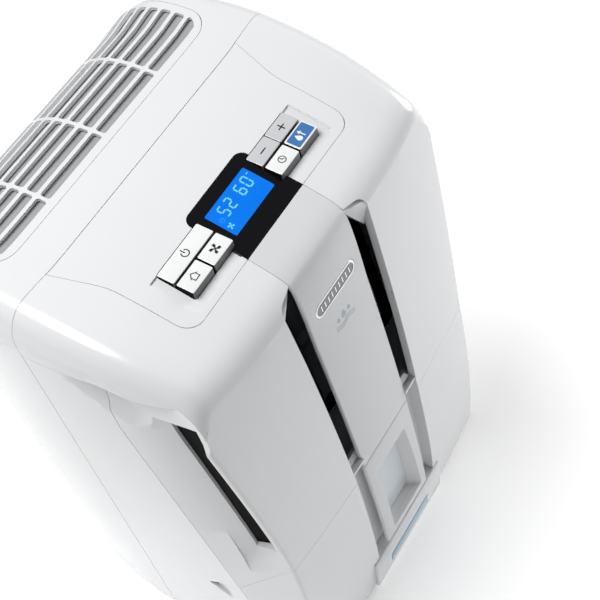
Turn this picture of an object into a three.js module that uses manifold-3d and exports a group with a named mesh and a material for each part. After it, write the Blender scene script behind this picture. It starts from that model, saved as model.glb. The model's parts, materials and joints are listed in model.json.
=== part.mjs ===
// A free-standing dehumidifier with a front-loading water tank, as an assembly of separate parts.
// Millimetres. X to the right as seen from the front, -Y to the front, +Z up.
// The origin is on the floor, in the middle of the body.
import * as THREE from "three";
import { mergeVertices } from "three/addons/utils/BufferGeometryUtils.js";
import Module from "manifold-3d";

const wasm = await Module();
wasm.setup();

// ---------------------------------------------------------------- driving dimensions

// Body
const BODY_WIDTH = 345;
const BODY_DEPTH = 330;
const BODY_HEIGHT = 510;
const WALL = 3; // moulded shells
const SEAM = 0.4; // gap between neighbouring shells
const FIT = 0.3; // gap between parts that rest on or in each other
const RUN = 0.5; // clearance round parts that slide or turn
const SKIRT_Z = 6; // lower edge of the shells above the floor
const SPLIT_Y = 14; // joint between the front and the rear housing
const TANK_SEAM_Z = 211; // top edge of the tank front

// Front face
const BELLY_Z = 100; // height of the foremost point
const BROW_RADIUS = 27; // rounding between the top and the front, along each side of the corner
const LEAN = 24.8; // how far the brow stands behind the belly
const TUCK = 5.5; // how far the lower edge stands behind the belly
const BOW_RADIUS = 1550; // crown of the front in plan
const CORNER_INSET = 25.2; // front corners inside the widest point
const FLARE = 17.9; // how far the corners spread towards the brow
const FLARE_Z = 190;
const PANEL_EDGE_SET = 38.6; // front edge of the side panels behind the front, at the floor
const PANEL_EDGE_SLOPE = 0.185; // its backward lean
const REAR_CORNER_RADIUS = 55;

// Spine and slots
const SPINE_HALF = 38;
const SPINE_DEPTH = 10;
const SPINE_FOOT_Z = 61;
const SPINE_LEAN = 29.4;
const SLOT_OUTER = 54; // outer wall of the front slots
const SLOT_FLOOR_Z = 225; // lower end of the open slots
const CHANNEL_DEPTH = 13; // channel floor behind the front face

// Side vents behind the front corners
const LIP = 7; // thickness of the corner lip in front of the vent
const VENT_LENGTH = 24;
const VENT_FLOOR_Z = 222;
const EAVE_BELOW_TOP = 44; // lip of the top over the sides
const EAVE_RECESS = 1.8; // depth of the relief under the eave

// Controls
const GUARD_SLATS = 9; // openings in the guard behind the slots
const PANEL_BACK_HALF = 124;
const PANEL_FRONT_HALF = 109;
const PANEL_FRONT_Y = -98;
const GLASS_HALF = 38;
const GLASS_BACK_Y = -43.5;
const LCD_HALF = 26;
const LCD_FRONT_Y = -81.5;
const LCD_BACK_Y = -54.5;
const KEY_INNER_X = 33;
const KEY_OUTER_X = 84.5;
const KEY_BACK_Y = -52.5;
const KEY_FRONT_Y = -84.5;
const KEY_GAP = 1;
const KEY_RISE = 5.6; // front edge of the keys above the panel
const KEY_TRAVEL = 1.2;

// Outlet grille in the top, intake grille in the back
const GRILLE_HALF = 138;
const GRILLE_FRONT_Y = 45.5;
const GRILLE_BACK_Z = 432;
const GRILLE_SLOTS = 11;
const GRILLE_BAR = 3;
const INTAKE_HALF = 92;
const INTAKE_LOW_Z = 238;
const INTAKE_HIGH_Z = 408;
const INTAKE_SLOTS = 12;
const FILTER_THICK = 7;

// Tank
const TANK_WALL = 2.5;
const GRIP_DEEP = 1.8; // depth of the mark that shows where to hold the side panel
const TANK_SIDE_GAP = 30.5; // tank side inside the widest point of the body
const TANK_BACK_Y = 8;
const TANK_LOW_Z = 44;
const TANK_HIGH_Z = 194;
const LID_THICK = 3;
const BAIL_HALF = 60;
const BAIL_REACH = 55;
const BAIL_PIN_R = 2.4;

// Chassis, drive and refrigerant circuit
const DECK_Z = 36;
const DECK_THICK = 4;
const MID_DECK_Z = 215;
const WHEEL_R = 13;
const WHEEL_WIDTH = 10;
const AXLE_R = 2;
const CASTER_TRAIL = 7;
const STEM_R = 4;
const FAN_R = 74;
const FAN_WIDTH = 40;
const FAN_Z = 335;
const FAN_Y = 55;
const COIL_HALF = 116;
const COIL_THICK = 18;
const COIL_HEIGHT = 180;
const COMPRESSOR_R = 50;
const COMPRESSOR_HEIGHT = 140;
const PIPE_R = 4;

// ---------------------------------------------------------------- derived places

const HALF_W = BODY_WIDTH / 2;
const BACK_Y = BODY_DEPTH / 2;
const FRONT_Y = -BODY_DEPTH / 2;
const BROW_Z = BODY_HEIGHT - 62;
const EAVE_Z = BODY_HEIGHT - EAVE_BELOW_TOP;
const CREST_Y = 75; // highest line of the top
const CREST_Z = BODY_HEIGHT - 3.5;
const TOP_FALL = 8.74e-4; // curvature of the top towards the front
const SHOULDER_X = HALF_W - 22.5;
const SHOULDER_DROP = 30;

const clamp = THREE.MathUtils.clamp;
const smooth = THREE.MathUtils.smoothstep;

// ---------------------------------------------------------------- materials

const paint = (color, roughness, metalness = 0) => ({ color, roughness, metalness });
const FINISH = {
  white: paint(0xf2f3f4, 0.25),
  satin: paint(0xdfe2e4, 0.35),
  silver: paint(0xc9cdd1, 0.3, 0.4),
  key: paint(0xf5f6f7, 0.2),
  blueKey: paint(0x2f66b0, 0.25),
  black: paint(0x0b0b0c, 0.6),
  glass: paint(0x050506, 0.08),
  lcd: paint(0x0a7cff, 0.3),
  paleBlue: paint(0xb9d3e6, 0.15),
  clear: paint(0xb8c7cf, 0.1),
  metal: paint(0xb5b8bc, 0.3, 1),
  copper: paint(0xb9714a, 0.3, 1),
  darkMetal: paint(0x2a2c2f, 0.45, 0.5),
  rubber: paint(0x1d1d1f, 0.8),
  board: paint(0x1d6b3c, 0.5),
  foam: paint(0x6c7074, 0.9),
};

const object = new THREE.Group();

// ---------------------------------------------------------------- solids

/** A closed geometry as a manifold solid. */
function solid(geometry) {
  const loose = geometry.index ? geometry.toNonIndexed() : geometry.clone();
  loose.deleteAttribute("normal");
  loose.deleteAttribute("uv");
  const merged = mergeVertices(loose, 1e-4);
  return new wasm.Manifold(
    new wasm.Mesh({
      numProp: 3,
      vertProperties: new Float32Array(merged.attributes.position.array),
      triVerts: new Uint32Array(merged.index.array),
    }),
  );
}

const join = (...parts) => parts.reduce((all, part) => all.add(part));
const cut = (body, ...tools) => tools.reduce((rest, tool) => rest.subtract(tool), body);

/** Adds a solid to the object as one named mesh. */
function addPart(name, body, finish) {
  const mesh = body.getMesh();
  const positions = new Float32Array(mesh.numVert * 3);
  for (let i = 0; i < mesh.numVert; i++) {
    const start = i * mesh.numProp;
    positions.set(mesh.vertProperties.subarray(start, start + 3), i * 3);
  }
  const geometry = new THREE.BufferGeometry();
  geometry.setAttribute("position", new THREE.BufferAttribute(positions, 3));
  geometry.setIndex(new THREE.BufferAttribute(new Uint32Array(mesh.triVerts), 1));
  const made = new THREE.Mesh(geometry, new THREE.MeshStandardMaterial(finish));
  made.name = name;
  object.add(made);
}

const shapeOf = (points) => new THREE.Shape(points.map(([a, b]) => new THREE.Vector2(a, b)));

/** Turns an extrusion along Z so that its outline lies in YZ and its length runs along X. */
function turnToX(geometry) {
  const basis = new THREE.Matrix4().makeBasis(
    new THREE.Vector3(0, 1, 0),
    new THREE.Vector3(0, 0, 1),
    new THREE.Vector3(1, 0, 0),
  );
  return geometry.applyMatrix4(basis);
}

/** Turns an extrusion along Z so that its outline lies in XZ and its length runs along -Y. */
function turnToY(geometry) {
  return geometry.rotateX(Math.PI / 2);
}

function extrude(shape, depth, steps = 1) {
  return new THREE.ExtrudeGeometry(shape, {
    depth,
    steps,
    bevelEnabled: false,
    curveSegments: 4,
  });
}

/** A prism over an outline in plan, between two heights. */
const prismZ = (shape, low, high) => solid(extrude(shape, high - low).translate(0, 0, low));

/** A prism over an outline in YZ, between two X places. */
const prismX = (shape, low, high) =>
  solid(turnToX(extrude(shape, high - low)).translate(low, 0, 0));

/** A prism over an outline in XZ, between two Y places. */
const prismY = (shape, low, high) =>
  solid(turnToY(extrude(shape, high - low)).translate(0, high, 0));

/** A box between two corners. */
function box([x0, y0, z0], [x1, y1, z1]) {
  const geometry = new THREE.BoxGeometry(x1 - x0, y1 - y0, z1 - z0);
  return solid(geometry.translate((x0 + x1) / 2, (y0 + y1) / 2, (z0 + z1) / 2));
}

/** A cylinder or cone frustum between two points on one axis. */
function rod(from, to, radius, sides = 16, endRadius = radius) {
  const start = new THREE.Vector3(...from);
  const end = new THREE.Vector3(...to);
  const along = end.clone().sub(start);
  const geometry = new THREE.CylinderGeometry(endRadius, radius, along.length(), sides);
  const turn = new THREE.Quaternion().setFromUnitVectors(
    new THREE.Vector3(0, 1, 0),
    along.clone().normalize(),
  );
  const middle = start.add(end).multiplyScalar(0.5);
  return solid(geometry.applyQuaternion(turn).translate(middle.x, middle.y, middle.z));
}

/** A body of revolution about a vertical axis, from a closed [radius, height] profile. */
function turned(profile, [x, y, z], sides = 24) {
  const points = profile.map(([r, h]) => new THREE.Vector2(r, h));
  const geometry = new THREE.LatheGeometry(points, sides);
  return solid(geometry.rotateX(Math.PI / 2).translate(x, y, z));
}

/** A round pipe along hand-placed points. */
function pipe(points, radius, steps, sides = 8) {
  const section = new THREE.Shape();
  for (let i = 0; i < sides; i++) {
    const angle = (i / sides) * 2 * Math.PI;
    const at = [radius * Math.cos(angle), radius * Math.sin(angle)];
    if (i === 0) section.moveTo(...at);
    else section.lineTo(...at);
  }
  section.closePath();
  const route = new THREE.CatmullRomCurve3(points.map((p) => new THREE.Vector3(...p)));
  return solid(new THREE.ExtrudeGeometry(section, { steps, extrudePath: route }));
}

/** A rectangle with rounded corners. */
function roundedRect(x0, x1, y0, y1, r) {
  const shape = new THREE.Shape();
  shape.moveTo(x0 + r, y0);
  shape.lineTo(x1 - r, y0);
  shape.absarc(x1 - r, y0 + r, r, -Math.PI / 2, 0);
  shape.lineTo(x1, y1 - r);
  shape.absarc(x1 - r, y1 - r, r, 0, Math.PI / 2);
  shape.lineTo(x0 + r, y1);
  shape.absarc(x0 + r, y1 - r, r, Math.PI / 2, Math.PI);
  shape.lineTo(x0, y0 + r);
  shape.absarc(x0 + r, y0 + r, r, Math.PI, 1.5 * Math.PI);
  return shape;
}

/** Moves every corner of a convex outline inwards by a distance. */
function insetOutline(points, distance) {
  const count = points.length;
  return points.map(([x, y], i) => {
    const before = points[(i + count - 1) % count];
    const after = points[(i + 1) % count];
    const inA = new THREE.Vector2(-(y - before[1]), x - before[0]).normalize();
    const inB = new THREE.Vector2(-(after[1] - y), after[0] - x).normalize();
    const middle = inA.clone().add(inB).normalize();
    const reach = distance / middle.dot(inA);
    return [x + middle.x * reach, y + middle.y * reach];
  });
}

// ---------------------------------------------------------------- the curves of the body

/** Y of the front face in the middle of the body. */
function frontY(z) {
  const belly = FRONT_Y + 0.6;
  if (z > BELLY_Z) return belly + LEAN * ((z - BELLY_Z) / (BROW_Z - BELLY_Z)) ** 1.75;
  return belly + TUCK * ((BELLY_Z - z) / BELLY_Z) ** 2;
}

/** X of the front corners, which spread towards the brow. */
function cornerX(z) {
  const share = clamp((z - FLARE_Z) / (BROW_Z + 2 - FLARE_Z), 0, 1.2);
  return HALF_W - CORNER_INSET + FLARE * share ** 1.15;
}

/** Y of the front edge of the side panels, which lean back. */
const panelEdgeY = (z) =>
  FRONT_Y + PANEL_EDGE_SET + PANEL_EDGE_SLOPE * Math.min(z, EAVE_Z - 61);

/** Half width of the body in plan. */
function sideX(y) {
  if (y <= SPLIT_Y) return HALF_W - 4.5 * ((SPLIT_Y - y) / 100) ** 2;
  return HALF_W - 19.6 * ((y - SPLIT_Y) / 111) ** 2;
}

/** Height of the top in the middle of the body, in front of its crest. */
const topZ = (y) => CREST_Z - TOP_FALL * (CREST_Y - y) ** 2;

const bow = (x) => (x * x) / (2 * BOW_RADIUS);
const EDGE_REF = panelEdgeY(TANK_SEAM_Z);
const CORNER_X_REF = cornerX(TANK_SEAM_Z);
const CORNER_Y_REF = frontY(TANK_SEAM_Z) + bow(CORNER_X_REF);

/** Leans and flares the front of the body: takes a point of the upright body to its real place. */
function lean(x, y, z) {
  if (y >= SPLIT_Y) return [x, y, z];
  const share = clamp((EDGE_REF - y) / (EDGE_REF - CORNER_Y_REF), 0, 1);
  const spread = clamp((Math.abs(x) - SLOT_OUTER) / (CORNER_X_REF - SLOT_OUTER), 0, 1);
  const newX = x + Math.sign(x) * (cornerX(z) - CORNER_X_REF) * spread * share;
  const edgeShift = panelEdgeY(z) - EDGE_REF;
  const frontShift = frontY(z) - frontY(TANK_SEAM_Z);
  const nearEdge = (edgeShift * (SPLIT_Y - y)) / (SPLIT_Y - EDGE_REF);
  const shift = y > EDGE_REF ? nearEdge : edgeShift + (frontShift - edgeShift) * share;
  return [newX, y + shift + (bow(newX) - bow(x)) * share, z];
}

/** Applies a function of (x, y, z) to every vertex. */
function warp(geometry, move) {
  const at = geometry.attributes.position;
  for (let i = 0; i < at.count; i++) at.setXYZ(i, ...move(at.getX(i), at.getY(i), at.getZ(i)));
  return geometry;
}

/** A prism of the upright body between chosen levels, leant to its real shape. */
function leantPrism(shape, levels) {
  const upright = extrude(shape, levels.length - 1, levels.length - 1);
  return solid(warp(upright, (x, y, step) => lean(x, y, levels[Math.round(step)])));
}

const LEVELS = [SKIRT_Z, 60, 110, 160, TANK_SEAM_Z, 285, 345, EAVE_Z - 61, BROW_Z, BODY_HEIGHT + 20];

/** Plan outline of the upright body, anticlockwise. */
function planOutline() {
  const right = [];
  for (let i = 0; i <= 5; i++) {
    const x = (CORNER_X_REF * i) / 5;
    right.push([x, frontY(TANK_SEAM_Z) + bow(x)]);
  }
  right.push([sideX(EDGE_REF), EDGE_REF]);
  right.push([sideX(-40), -40]);
  const start = 0.34;
  const cornerY = BACK_Y - REAR_CORNER_RADIUS;
  const arcY = cornerY + REAR_CORNER_RADIUS * Math.sin(start);
  const cornerX0 = sideX(arcY) - REAR_CORNER_RADIUS * Math.cos(start);
  for (let i = 0; i < 4; i++) {
    const y = SPLIT_Y + ((arcY - SPLIT_Y) * i) / 4;
    right.push([sideX(y), y]);
  }
  for (let i = 0; i <= 5; i++) {
    const angle = start + ((Math.PI / 2 - start) * i) / 5;
    const x = cornerX0 + REAR_CORNER_RADIUS * Math.cos(angle);
    right.push([x, cornerY + REAR_CORNER_RADIUS * Math.sin(angle)]);
  }
  const left = right.slice(1).reverse().map(([x, y]) => [-x, y]);
  return [...right, ...left];
}

/** The walls of the body as a tall solid, inside the outer skin by a distance. */
function walls(distance, levels = LEVELS) {
  return leantPrism(shapeOf(insetOutline(planOutline(), distance)), levels);
}

/** YZ profile under the top: brow, top and rounded rear edge, anticlockwise from below. */
function topProfile() {
  const browTop = -117;
  const browFront = frontY(BROW_Z - 2) - 0.8;
  const slope = 2 * TOP_FALL * (CREST_Y - browTop);
  const cornerY = browFront + 0.1 * (BROW_RADIUS - 5);
  const cornerZ = topZ(browTop) - slope * (browTop - cornerY);
  const browLow = [browFront, BROW_Z - 2];
  const points = [
    [BACK_Y + 60, -40],
    [BACK_Y + 60, BODY_HEIGHT - 120],
    [BACK_Y + 0.8, BODY_HEIGHT - 90],
  ];
  const rearWide = BACK_Y + 0.8 - CREST_Y;
  const rearTall = CREST_Z - (BODY_HEIGHT - 90);
  for (let i = 1; i <= 7; i++) {
    const angle = (i / 7) * (Math.PI / 2);
    points.push([
      CREST_Y + rearWide * Math.cos(angle),
      BODY_HEIGHT - 90 + rearTall * Math.sin(angle),
    ]);
  }
  for (let i = 1; i < 6; i++) {
    const y = CREST_Y + ((browTop - CREST_Y) * i) / 6;
    points.push([y, topZ(y)]);
  }
  for (let i = 0; i <= 5; i++) {
    const t = i / 5;
    points.push([
      (1 - t) ** 2 * browTop + 2 * t * (1 - t) * cornerY + t * t * browLow[0],
      (1 - t) ** 2 * topZ(browTop) + 2 * t * (1 - t) * cornerZ + t * t * browLow[1],
    ]);
  }
  points.push([FRONT_Y - 40, BROW_Z - 80], [FRONT_Y - 60, -40]);
  return points;
}

/** How far the top falls at a distance from the middle: flat, a slight rise, then the shoulder. */
function shoulder(x) {
  const away = Math.abs(x);
  const rise = 3.5 * smooth(away, PANEL_FRONT_HALF, SHOULDER_X);
  const share = (away - SHOULDER_X) / (HALF_W - SHOULDER_X);
  if (share <= 0) return -rise;
  if (share <= 1) return -rise + SHOULDER_DROP * (1 - Math.sqrt(1 - share * share));
  return SHOULDER_DROP + 90;
}

/** Everything under the top surface, inside the outer skin by a distance. */
function underTop(distance) {
  const half = [0, 70, 109, 130, 150, 160, 167, 171, 172.5, 176].map(
    (x) => (x * HALF_W) / 172.5,
  );
  const places = [...half.slice(1).reverse().map((x) => -x), ...half];
  const outline = shapeOf(insetOutline(topProfile(), distance));
  const geometry = turnToX(extrude(outline, places.length - 1, places.length - 1));
  const narrow = (y) => (sideX(clamp(y, -125, 140)) - distance) / HALF_W;
  return solid(
    warp(geometry, (step, y, z) => {
      const x = places[Math.round(step)];
      const fall = z > BODY_HEIGHT / 2 ? shoulder(x) : 0;
      const crown = bow(x) * clamp((-60 - y) / 60, 0, 1);
      const wide = Math.abs(x) > HALF_W ? x + Math.sign(x) * 40 : x * narrow(y);
      return [wide, y + crown, z - fall];
    }),
  );
}

// ---------------------------------------------------------------- the skin and its cuts

const skin = cut(
  walls(0).intersect(underTop(0)),
  walls(WALL, [SKIRT_Z - 5, ...LEVELS.slice(1)]).intersect(underTop(WALL)),
);

const half = SEAM / 2;
const FAR = 400;

/** Plan outline of the control panel inlay, shrunk by a distance. */
function panelOutline(distance) {
  const back = SPLIT_Y - half - distance;
  const front = PANEL_FRONT_Y + distance;
  const round = 12;
  const frontHalf = PANEL_FRONT_HALF - distance;
  const backHalf = PANEL_BACK_HALF - distance;
  return shapeOf([
    [-frontHalf + round, front],
    [frontHalf - round, front],
    [frontHalf - round * 0.3, front + round * 0.3],
    [frontHalf, front + round],
    [frontHalf + 1.5, -30],
    [backHalf, back],
    [-backHalf, back],
    [-frontHalf - 1.5, -30],
    [-frontHalf, front + round],
    [-frontHalf + round * 0.3, front + round * 0.3],
  ]);
}
const panelColumn = (distance) => prismZ(panelOutline(distance), BROW_Z, BODY_HEIGHT + 10);

/** Side view of the boundary between the tank front and the housing above it. */
function tankSide(gap) {
  const top = TANK_SEAM_Z - gap;
  const turnY = CORNER_Y_REF + 3;
  const lowZ = 153 - gap;
  return shapeOf([
    [FRONT_Y - 30, -10],
    [turnY + (top - lowZ) + 260, -10],
    [turnY + (top - lowZ) + 260, lowZ],
    [turnY + (top - lowZ) * 0.93, lowZ],
    [turnY, top],
    [FRONT_Y - 30, top],
  ]);
}
const tankZone = (gap) => prismX(tankSide(gap), -FAR, FAR);

/** The wall zone of the side panels: behind the leaning edge, under the eave. */
function sideZone(gap, side) {
  const edge = (z) => panelEdgeY(z) + gap;
  const kink = EAVE_Z - 61;
  const zone = prismX(
    shapeOf([
      [edge(-10), -10],
      [SPLIT_Y - half - gap, -10],
      [SPLIT_Y - half - gap, EAVE_Z - gap],
      [edge(kink), EAVE_Z - gap],
      [edge(kink), kink],
    ]),
    side > 0 ? SHOULDER_X - 20 : -FAR,
    side > 0 ? FAR : -SHOULDER_X + 20,
  );
  return zone;
}

/** The corner vents: upright slots through the side facets, just behind the lip. */
function ventTool(side, grow = 0) {
  const front = CORNER_Y_REF + LIP - grow;
  const outer = HALF_W + 20;
  const inner = CORNER_X_REF - 16;
  const outline = [
    [side * inner, front],
    [side * outer, front],
    [side * outer, front + VENT_LENGTH],
    [side * inner, front + VENT_LENGTH - 8],
  ];
  if (side < 0) outline.reverse();
  return leantPrism(shapeOf(outline), [VENT_FLOOR_Z, 255, 300, 345, EAVE_Z - 61, EAVE_Z - 14]);
}

/** The relief under the eave, cut into the side wall. */
function eaveCove(side) {
  const cove = shapeOf([
    [FRONT_Y, EAVE_Z - 62],
    [-72, EAVE_Z - 62],
    [-40, EAVE_Z - 30],
    [-22, EAVE_Z - 0.2],
    [FRONT_Y, EAVE_Z - 0.2],
  ]);
  const wallX = sideX(-60);
  return side > 0
    ? prismX(cove, wallX - EAVE_RECESS, wallX + 30)
    : prismX(cove, -wallX - 30, -wallX + EAVE_RECESS);
}

/** The two front slots beside the spine, open from the brow to their floor. */
function slotTool(side) {
  const inner = SPINE_HALF - 1;
  const outline = [
    [side * inner, FRONT_Y - 40],
    [side * SLOT_OUTER, FRONT_Y - 40],
    [side * SLOT_OUTER, -118],
    [side * inner, -118],
  ];
  if (side < 0) outline.reverse();
  return prismZ(shapeOf(outline), SLOT_FLOOR_Z, BROW_Z + 14);
}

/** A channel in the front between two heights, wide enough for the spine and both slots. */
function channelTool(low, high, floorDepth) {
  const levels = [low, (low + high) / 2, high];
  const y = frontY(TANK_SEAM_Z) + floorDepth;
  const width = SLOT_OUTER;
  return leantPrism(
    shapeOf([
      [-width, FRONT_Y - 60],
      [width, FRONT_Y - 60],
      [width, y],
      [-width, y],
    ]),
    levels,
  );
}

/** The tray that closes a channel behind, with its side walls. */
function channelTray(low, high) {
  const y = frontY(TANK_SEAM_Z) + CHANNEL_DEPTH;
  const width = SLOT_OUTER + WALL;
  const outer = leantPrism(
    shapeOf([
      [-width, frontY(TANK_SEAM_Z) + 1.5],
      [width, frontY(TANK_SEAM_Z) + 1.5],
      [width, y + WALL],
      [-width, y + WALL],
    ]),
    [low, (low + high) / 2, high],
  );
  return cut(outer, channelTool(low - 5, high + 5, CHANNEL_DEPTH));
}

/** The strip in front of the display, over the brow and down the front. */
const stripZone = (gap) =>
  box(
    [-SPINE_HALF - gap, FRONT_Y - 60, SLOT_FLOOR_Z],
    [SPINE_HALF + gap, PANEL_FRONT_Y + gap, BODY_HEIGHT + 90],
  );

// ---------------------------------------------------------------- housings

/** Return walls along the outer sides of the slots, from the front face inwards. */
function slotCheek(side) {
  const inner = SLOT_OUTER;
  const outline = [
    [side * inner, frontY(TANK_SEAM_Z) + 1.5],
    [side * (inner + WALL), frontY(TANK_SEAM_Z) + 1.5],
    [side * (inner + WALL), frontY(TANK_SEAM_Z) + CHANNEL_DEPTH + WALL],
    [side * inner, frontY(TANK_SEAM_Z) + CHANNEL_DEPTH + WALL],
  ];
  if (side < 0) outline.reverse();
  return leantPrism(shapeOf(outline), [SLOT_FLOOR_Z - 1, 255, 300, 345, 405, BROW_Z - 2]);
}

const insideSkin = walls(WALL / 2).intersect(underTop(WALL / 2));

/** A cross member under the top, with a pad at each end that stands into the skin. */
function crossMember(y, length, padFrom, padTo) {
  const top = topZ(y) - WALL;
  const beam = box([-length, y - 3, top - 12], [length, y + 3, top - 1]);
  const pad = (side) =>
    box(
      [side > 0 ? padFrom : -padTo, y - 3, top - 5],
      [side > 0 ? padTo : -padFrom, y + 3, top + 7],
    );
  return join(beam, pad(1), pad(-1)).intersect(insideSkin);
}
const aboveTank = cut(
  box([-FAR, -FAR, -20], [FAR, SPLIT_Y - half, BODY_HEIGHT + 90]),
  tankZone(-half),
);
const frontHousing = cut(
  join(
    cut(skin, slotTool(1), slotTool(-1), channelTool(TANK_SEAM_Z - 5, SLOT_FLOOR_Z, CHANNEL_DEPTH)),
    slotCheek(1).intersect(insideSkin),
    slotCheek(-1).intersect(insideSkin),
    channelTray(TANK_SEAM_Z + half, SLOT_FLOOR_Z),
    crossMember(PANEL_FRONT_Y - 4, PANEL_FRONT_HALF, SPINE_HALF + 6, PANEL_FRONT_HALF),
    crossMember(SPLIT_Y - 8, SHOULDER_X, PANEL_BACK_HALF + 3, SHOULDER_X),
  ).intersect(aboveTank),
  panelColumn(-half),
  stripZone(half),
  sideZone(-half, 1),
  sideZone(-half, -1),
  ventTool(1),
  ventTool(-1),
  eaveCove(1),
  eaveCove(-1),
);
addPart("front_housing", frontHousing, FINISH.white);

/** One side panel, between the leaning front edge and the rear housing. */
const fingerGrip = (side) => {
  const outline = shapeOf([
    [-86, 113],
    [-61, 135],
    [-80, 148],
  ]);
  const wallX = sideX(-75);
  return side > 0
    ? prismX(outline, wallX - GRIP_DEEP, wallX + 20)
    : prismX(outline, -wallX - 20, -wallX + GRIP_DEEP);
};
const sidePanel = (side) =>
  cut(skin.intersect(sideZone(half, side)), eaveCove(side), fingerGrip(side));
addPart("left_side_panel", sidePanel(-1), FINISH.white);
addPart("right_side_panel", sidePanel(1), FINISH.white);

/** Points of the rear edge of the top, by share of its length from the grille's front edge. */
function topRun(share) {
  const profile = topProfile();
  const rear = profile.slice(3, 10).reverse();
  const line = [[GRILLE_FRONT_Y, topZ(GRILLE_FRONT_Y)], ...rear, [BACK_Y, BODY_HEIGHT - 90]];
  const path = new THREE.CurvePath();
  line.slice(1).forEach((point, i) => {
    path.add(new THREE.LineCurve(new THREE.Vector2(...line[i]), new THREE.Vector2(...point)));
  });
  const at = path.getPointAt(share);
  const along = path.getTangentAt(share);
  return { y: at.x, z: at.y, angle: Math.atan2(along.y, along.x) };
}

/** The patch of the top that the outlet grille fills, grown by a distance. */
function grilleZone(grow) {
  const column = prismZ(
    roundedRect(-GRILLE_HALF - grow, GRILLE_HALF + grow, GRILLE_FRONT_Y - grow, BACK_Y + 60, 20),
    GRILLE_BACK_Z - grow,
    BODY_HEIGHT + 20,
  );
  return column;
}

/** Long slots across the grille, split by three ribs, each square to the surface. */
function grilleSlots() {
  const ribs = [-GRILLE_HALF + 7, -70, 0, 70, GRILLE_HALF - 7];
  const usable = 0.9;
  const tools = [];
  for (let i = 0; i < GRILLE_SLOTS; i++) {
    const place = topRun(0.03 + (usable * (i + 0.5)) / GRILLE_SLOTS);
    const next = topRun(0.03 + (usable * (i + 1.5)) / GRILLE_SLOTS);
    const width = Math.hypot(next.y - place.y, next.z - place.z) - GRILLE_BAR;
    for (let bay = 0; bay < ribs.length - 1; bay++) {
      const length = ribs[bay + 1] - ribs[bay] - GRILLE_BAR;
      const middle = (ribs[bay + 1] + ribs[bay]) / 2;
      const tool = new THREE.BoxGeometry(length, width, 24).rotateX(place.angle);
      tools.push(solid(tool.translate(middle, place.y, place.z)));
    }
  }
  return tools;
}

const intakeZone = (grow) =>
  box(
    [-INTAKE_HALF - grow, BACK_Y - WALL - 1, INTAKE_LOW_Z - grow],
    [INTAKE_HALF + grow, BACK_Y + 5, INTAKE_HIGH_Z + grow],
  );
const SCREW_PLACES = [
  [-75, INTAKE_LOW_Z - 15],
  [75, INTAKE_LOW_Z - 15],
];
const SCREW_HEAD_R = 3.2;
const GLAND = { x: 88, z: 62, r: 9 };
const HOSE = { x: -82, z: 130, r: 9 };
const throughBack = ({ x, z, r }) => rod([x, BACK_Y - 12, z], [x, BACK_Y + 5, z], r + FIT);
const rearHousing = cut(
  skin.intersect(box([-FAR, SPLIT_Y + half, -20], [FAR, FAR, BODY_HEIGHT + 90])),
  grilleZone(half),
  intakeZone(RUN),
  throughBack(GLAND),
  throughBack(HOSE),
  ...SCREW_PLACES.map(([x, z]) => throughBack({ x, z, r: SCREW_HEAD_R })),
);
addPart("rear_housing", rearHousing, FINISH.white);
addPart("outlet_grille", cut(skin.intersect(grilleZone(-half)), ...grilleSlots()), FINISH.white);

SCREW_PLACES.forEach(([x, z], i) => {
  const head = rod([x, BACK_Y - 2, z], [x, BACK_Y - 0.4, z], SCREW_HEAD_R, 10);
  const shank = rod([x, BACK_Y - 14, z], [x, BACK_Y - 1, z], 1.6, 8);
  addPart(`rear_screw_${i + 1}`, join(head, shank), FINISH.metal);
});

// ---------------------------------------------------------------- controls

const glassFront = PANEL_FRONT_Y;
const lcdZone = (grow) =>
  box(
    [-LCD_HALF - grow, LCD_FRONT_Y - grow, BROW_Z],
    [LCD_HALF + grow, LCD_BACK_Y + grow, BODY_HEIGHT + 10],
  );
const keyWell = (side) => {
  const low = side > 0 ? KEY_INNER_X - RUN : -KEY_OUTER_X - RUN;
  const high = side > 0 ? KEY_OUTER_X + RUN : -KEY_INNER_X + RUN;
  return box([low, KEY_FRONT_Y - RUN, BROW_Z], [high, KEY_BACK_Y + RUN, BODY_HEIGHT + 10]);
};
/** The glass in plan: square front corners, round back corners. */
function glassColumn(grow) {
  const side = GLASS_HALF + grow;
  const shape = roundedRect(-side, side, glassFront - 20, GLASS_BACK_Y + grow, 8);
  return cut(
    prismZ(shape, BROW_Z, BODY_HEIGHT + 10),
    box([-FAR, -FAR, 0], [FAR, glassFront + half, BODY_HEIGHT + 90]),
  );
}
const glassOpening = join(
  glassColumn(half),
  box([-GLASS_HALF - half, glassFront - 5, BROW_Z], [GLASS_HALF + half, glassFront + 5, 900]),
);
const controlPanel = cut(skin.intersect(panelColumn(half)), glassOpening, keyWell(1), keyWell(-1));
addPart("control_panel", controlPanel, FINISH.white);
addPart(
  "display_window",
  cut(skin.intersect(glassColumn(-half)), lcdZone(half), keyWell(1), keyWell(-1)),
  FINISH.glass,
);
const boardTop = topZ(PANEL_FRONT_Y) - 13.5;
const lcdSide = shapeOf([
  [LCD_FRONT_Y, boardTop + 4],
  [LCD_BACK_Y, boardTop + 4],
  [LCD_BACK_Y, topZ(LCD_BACK_Y) - 0.3],
  [LCD_FRONT_Y, topZ(LCD_FRONT_Y) - 0.3],
]);
addPart("lcd_module", prismX(lcdSide, -LCD_HALF, LCD_HALF), FINISH.lcd);

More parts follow.
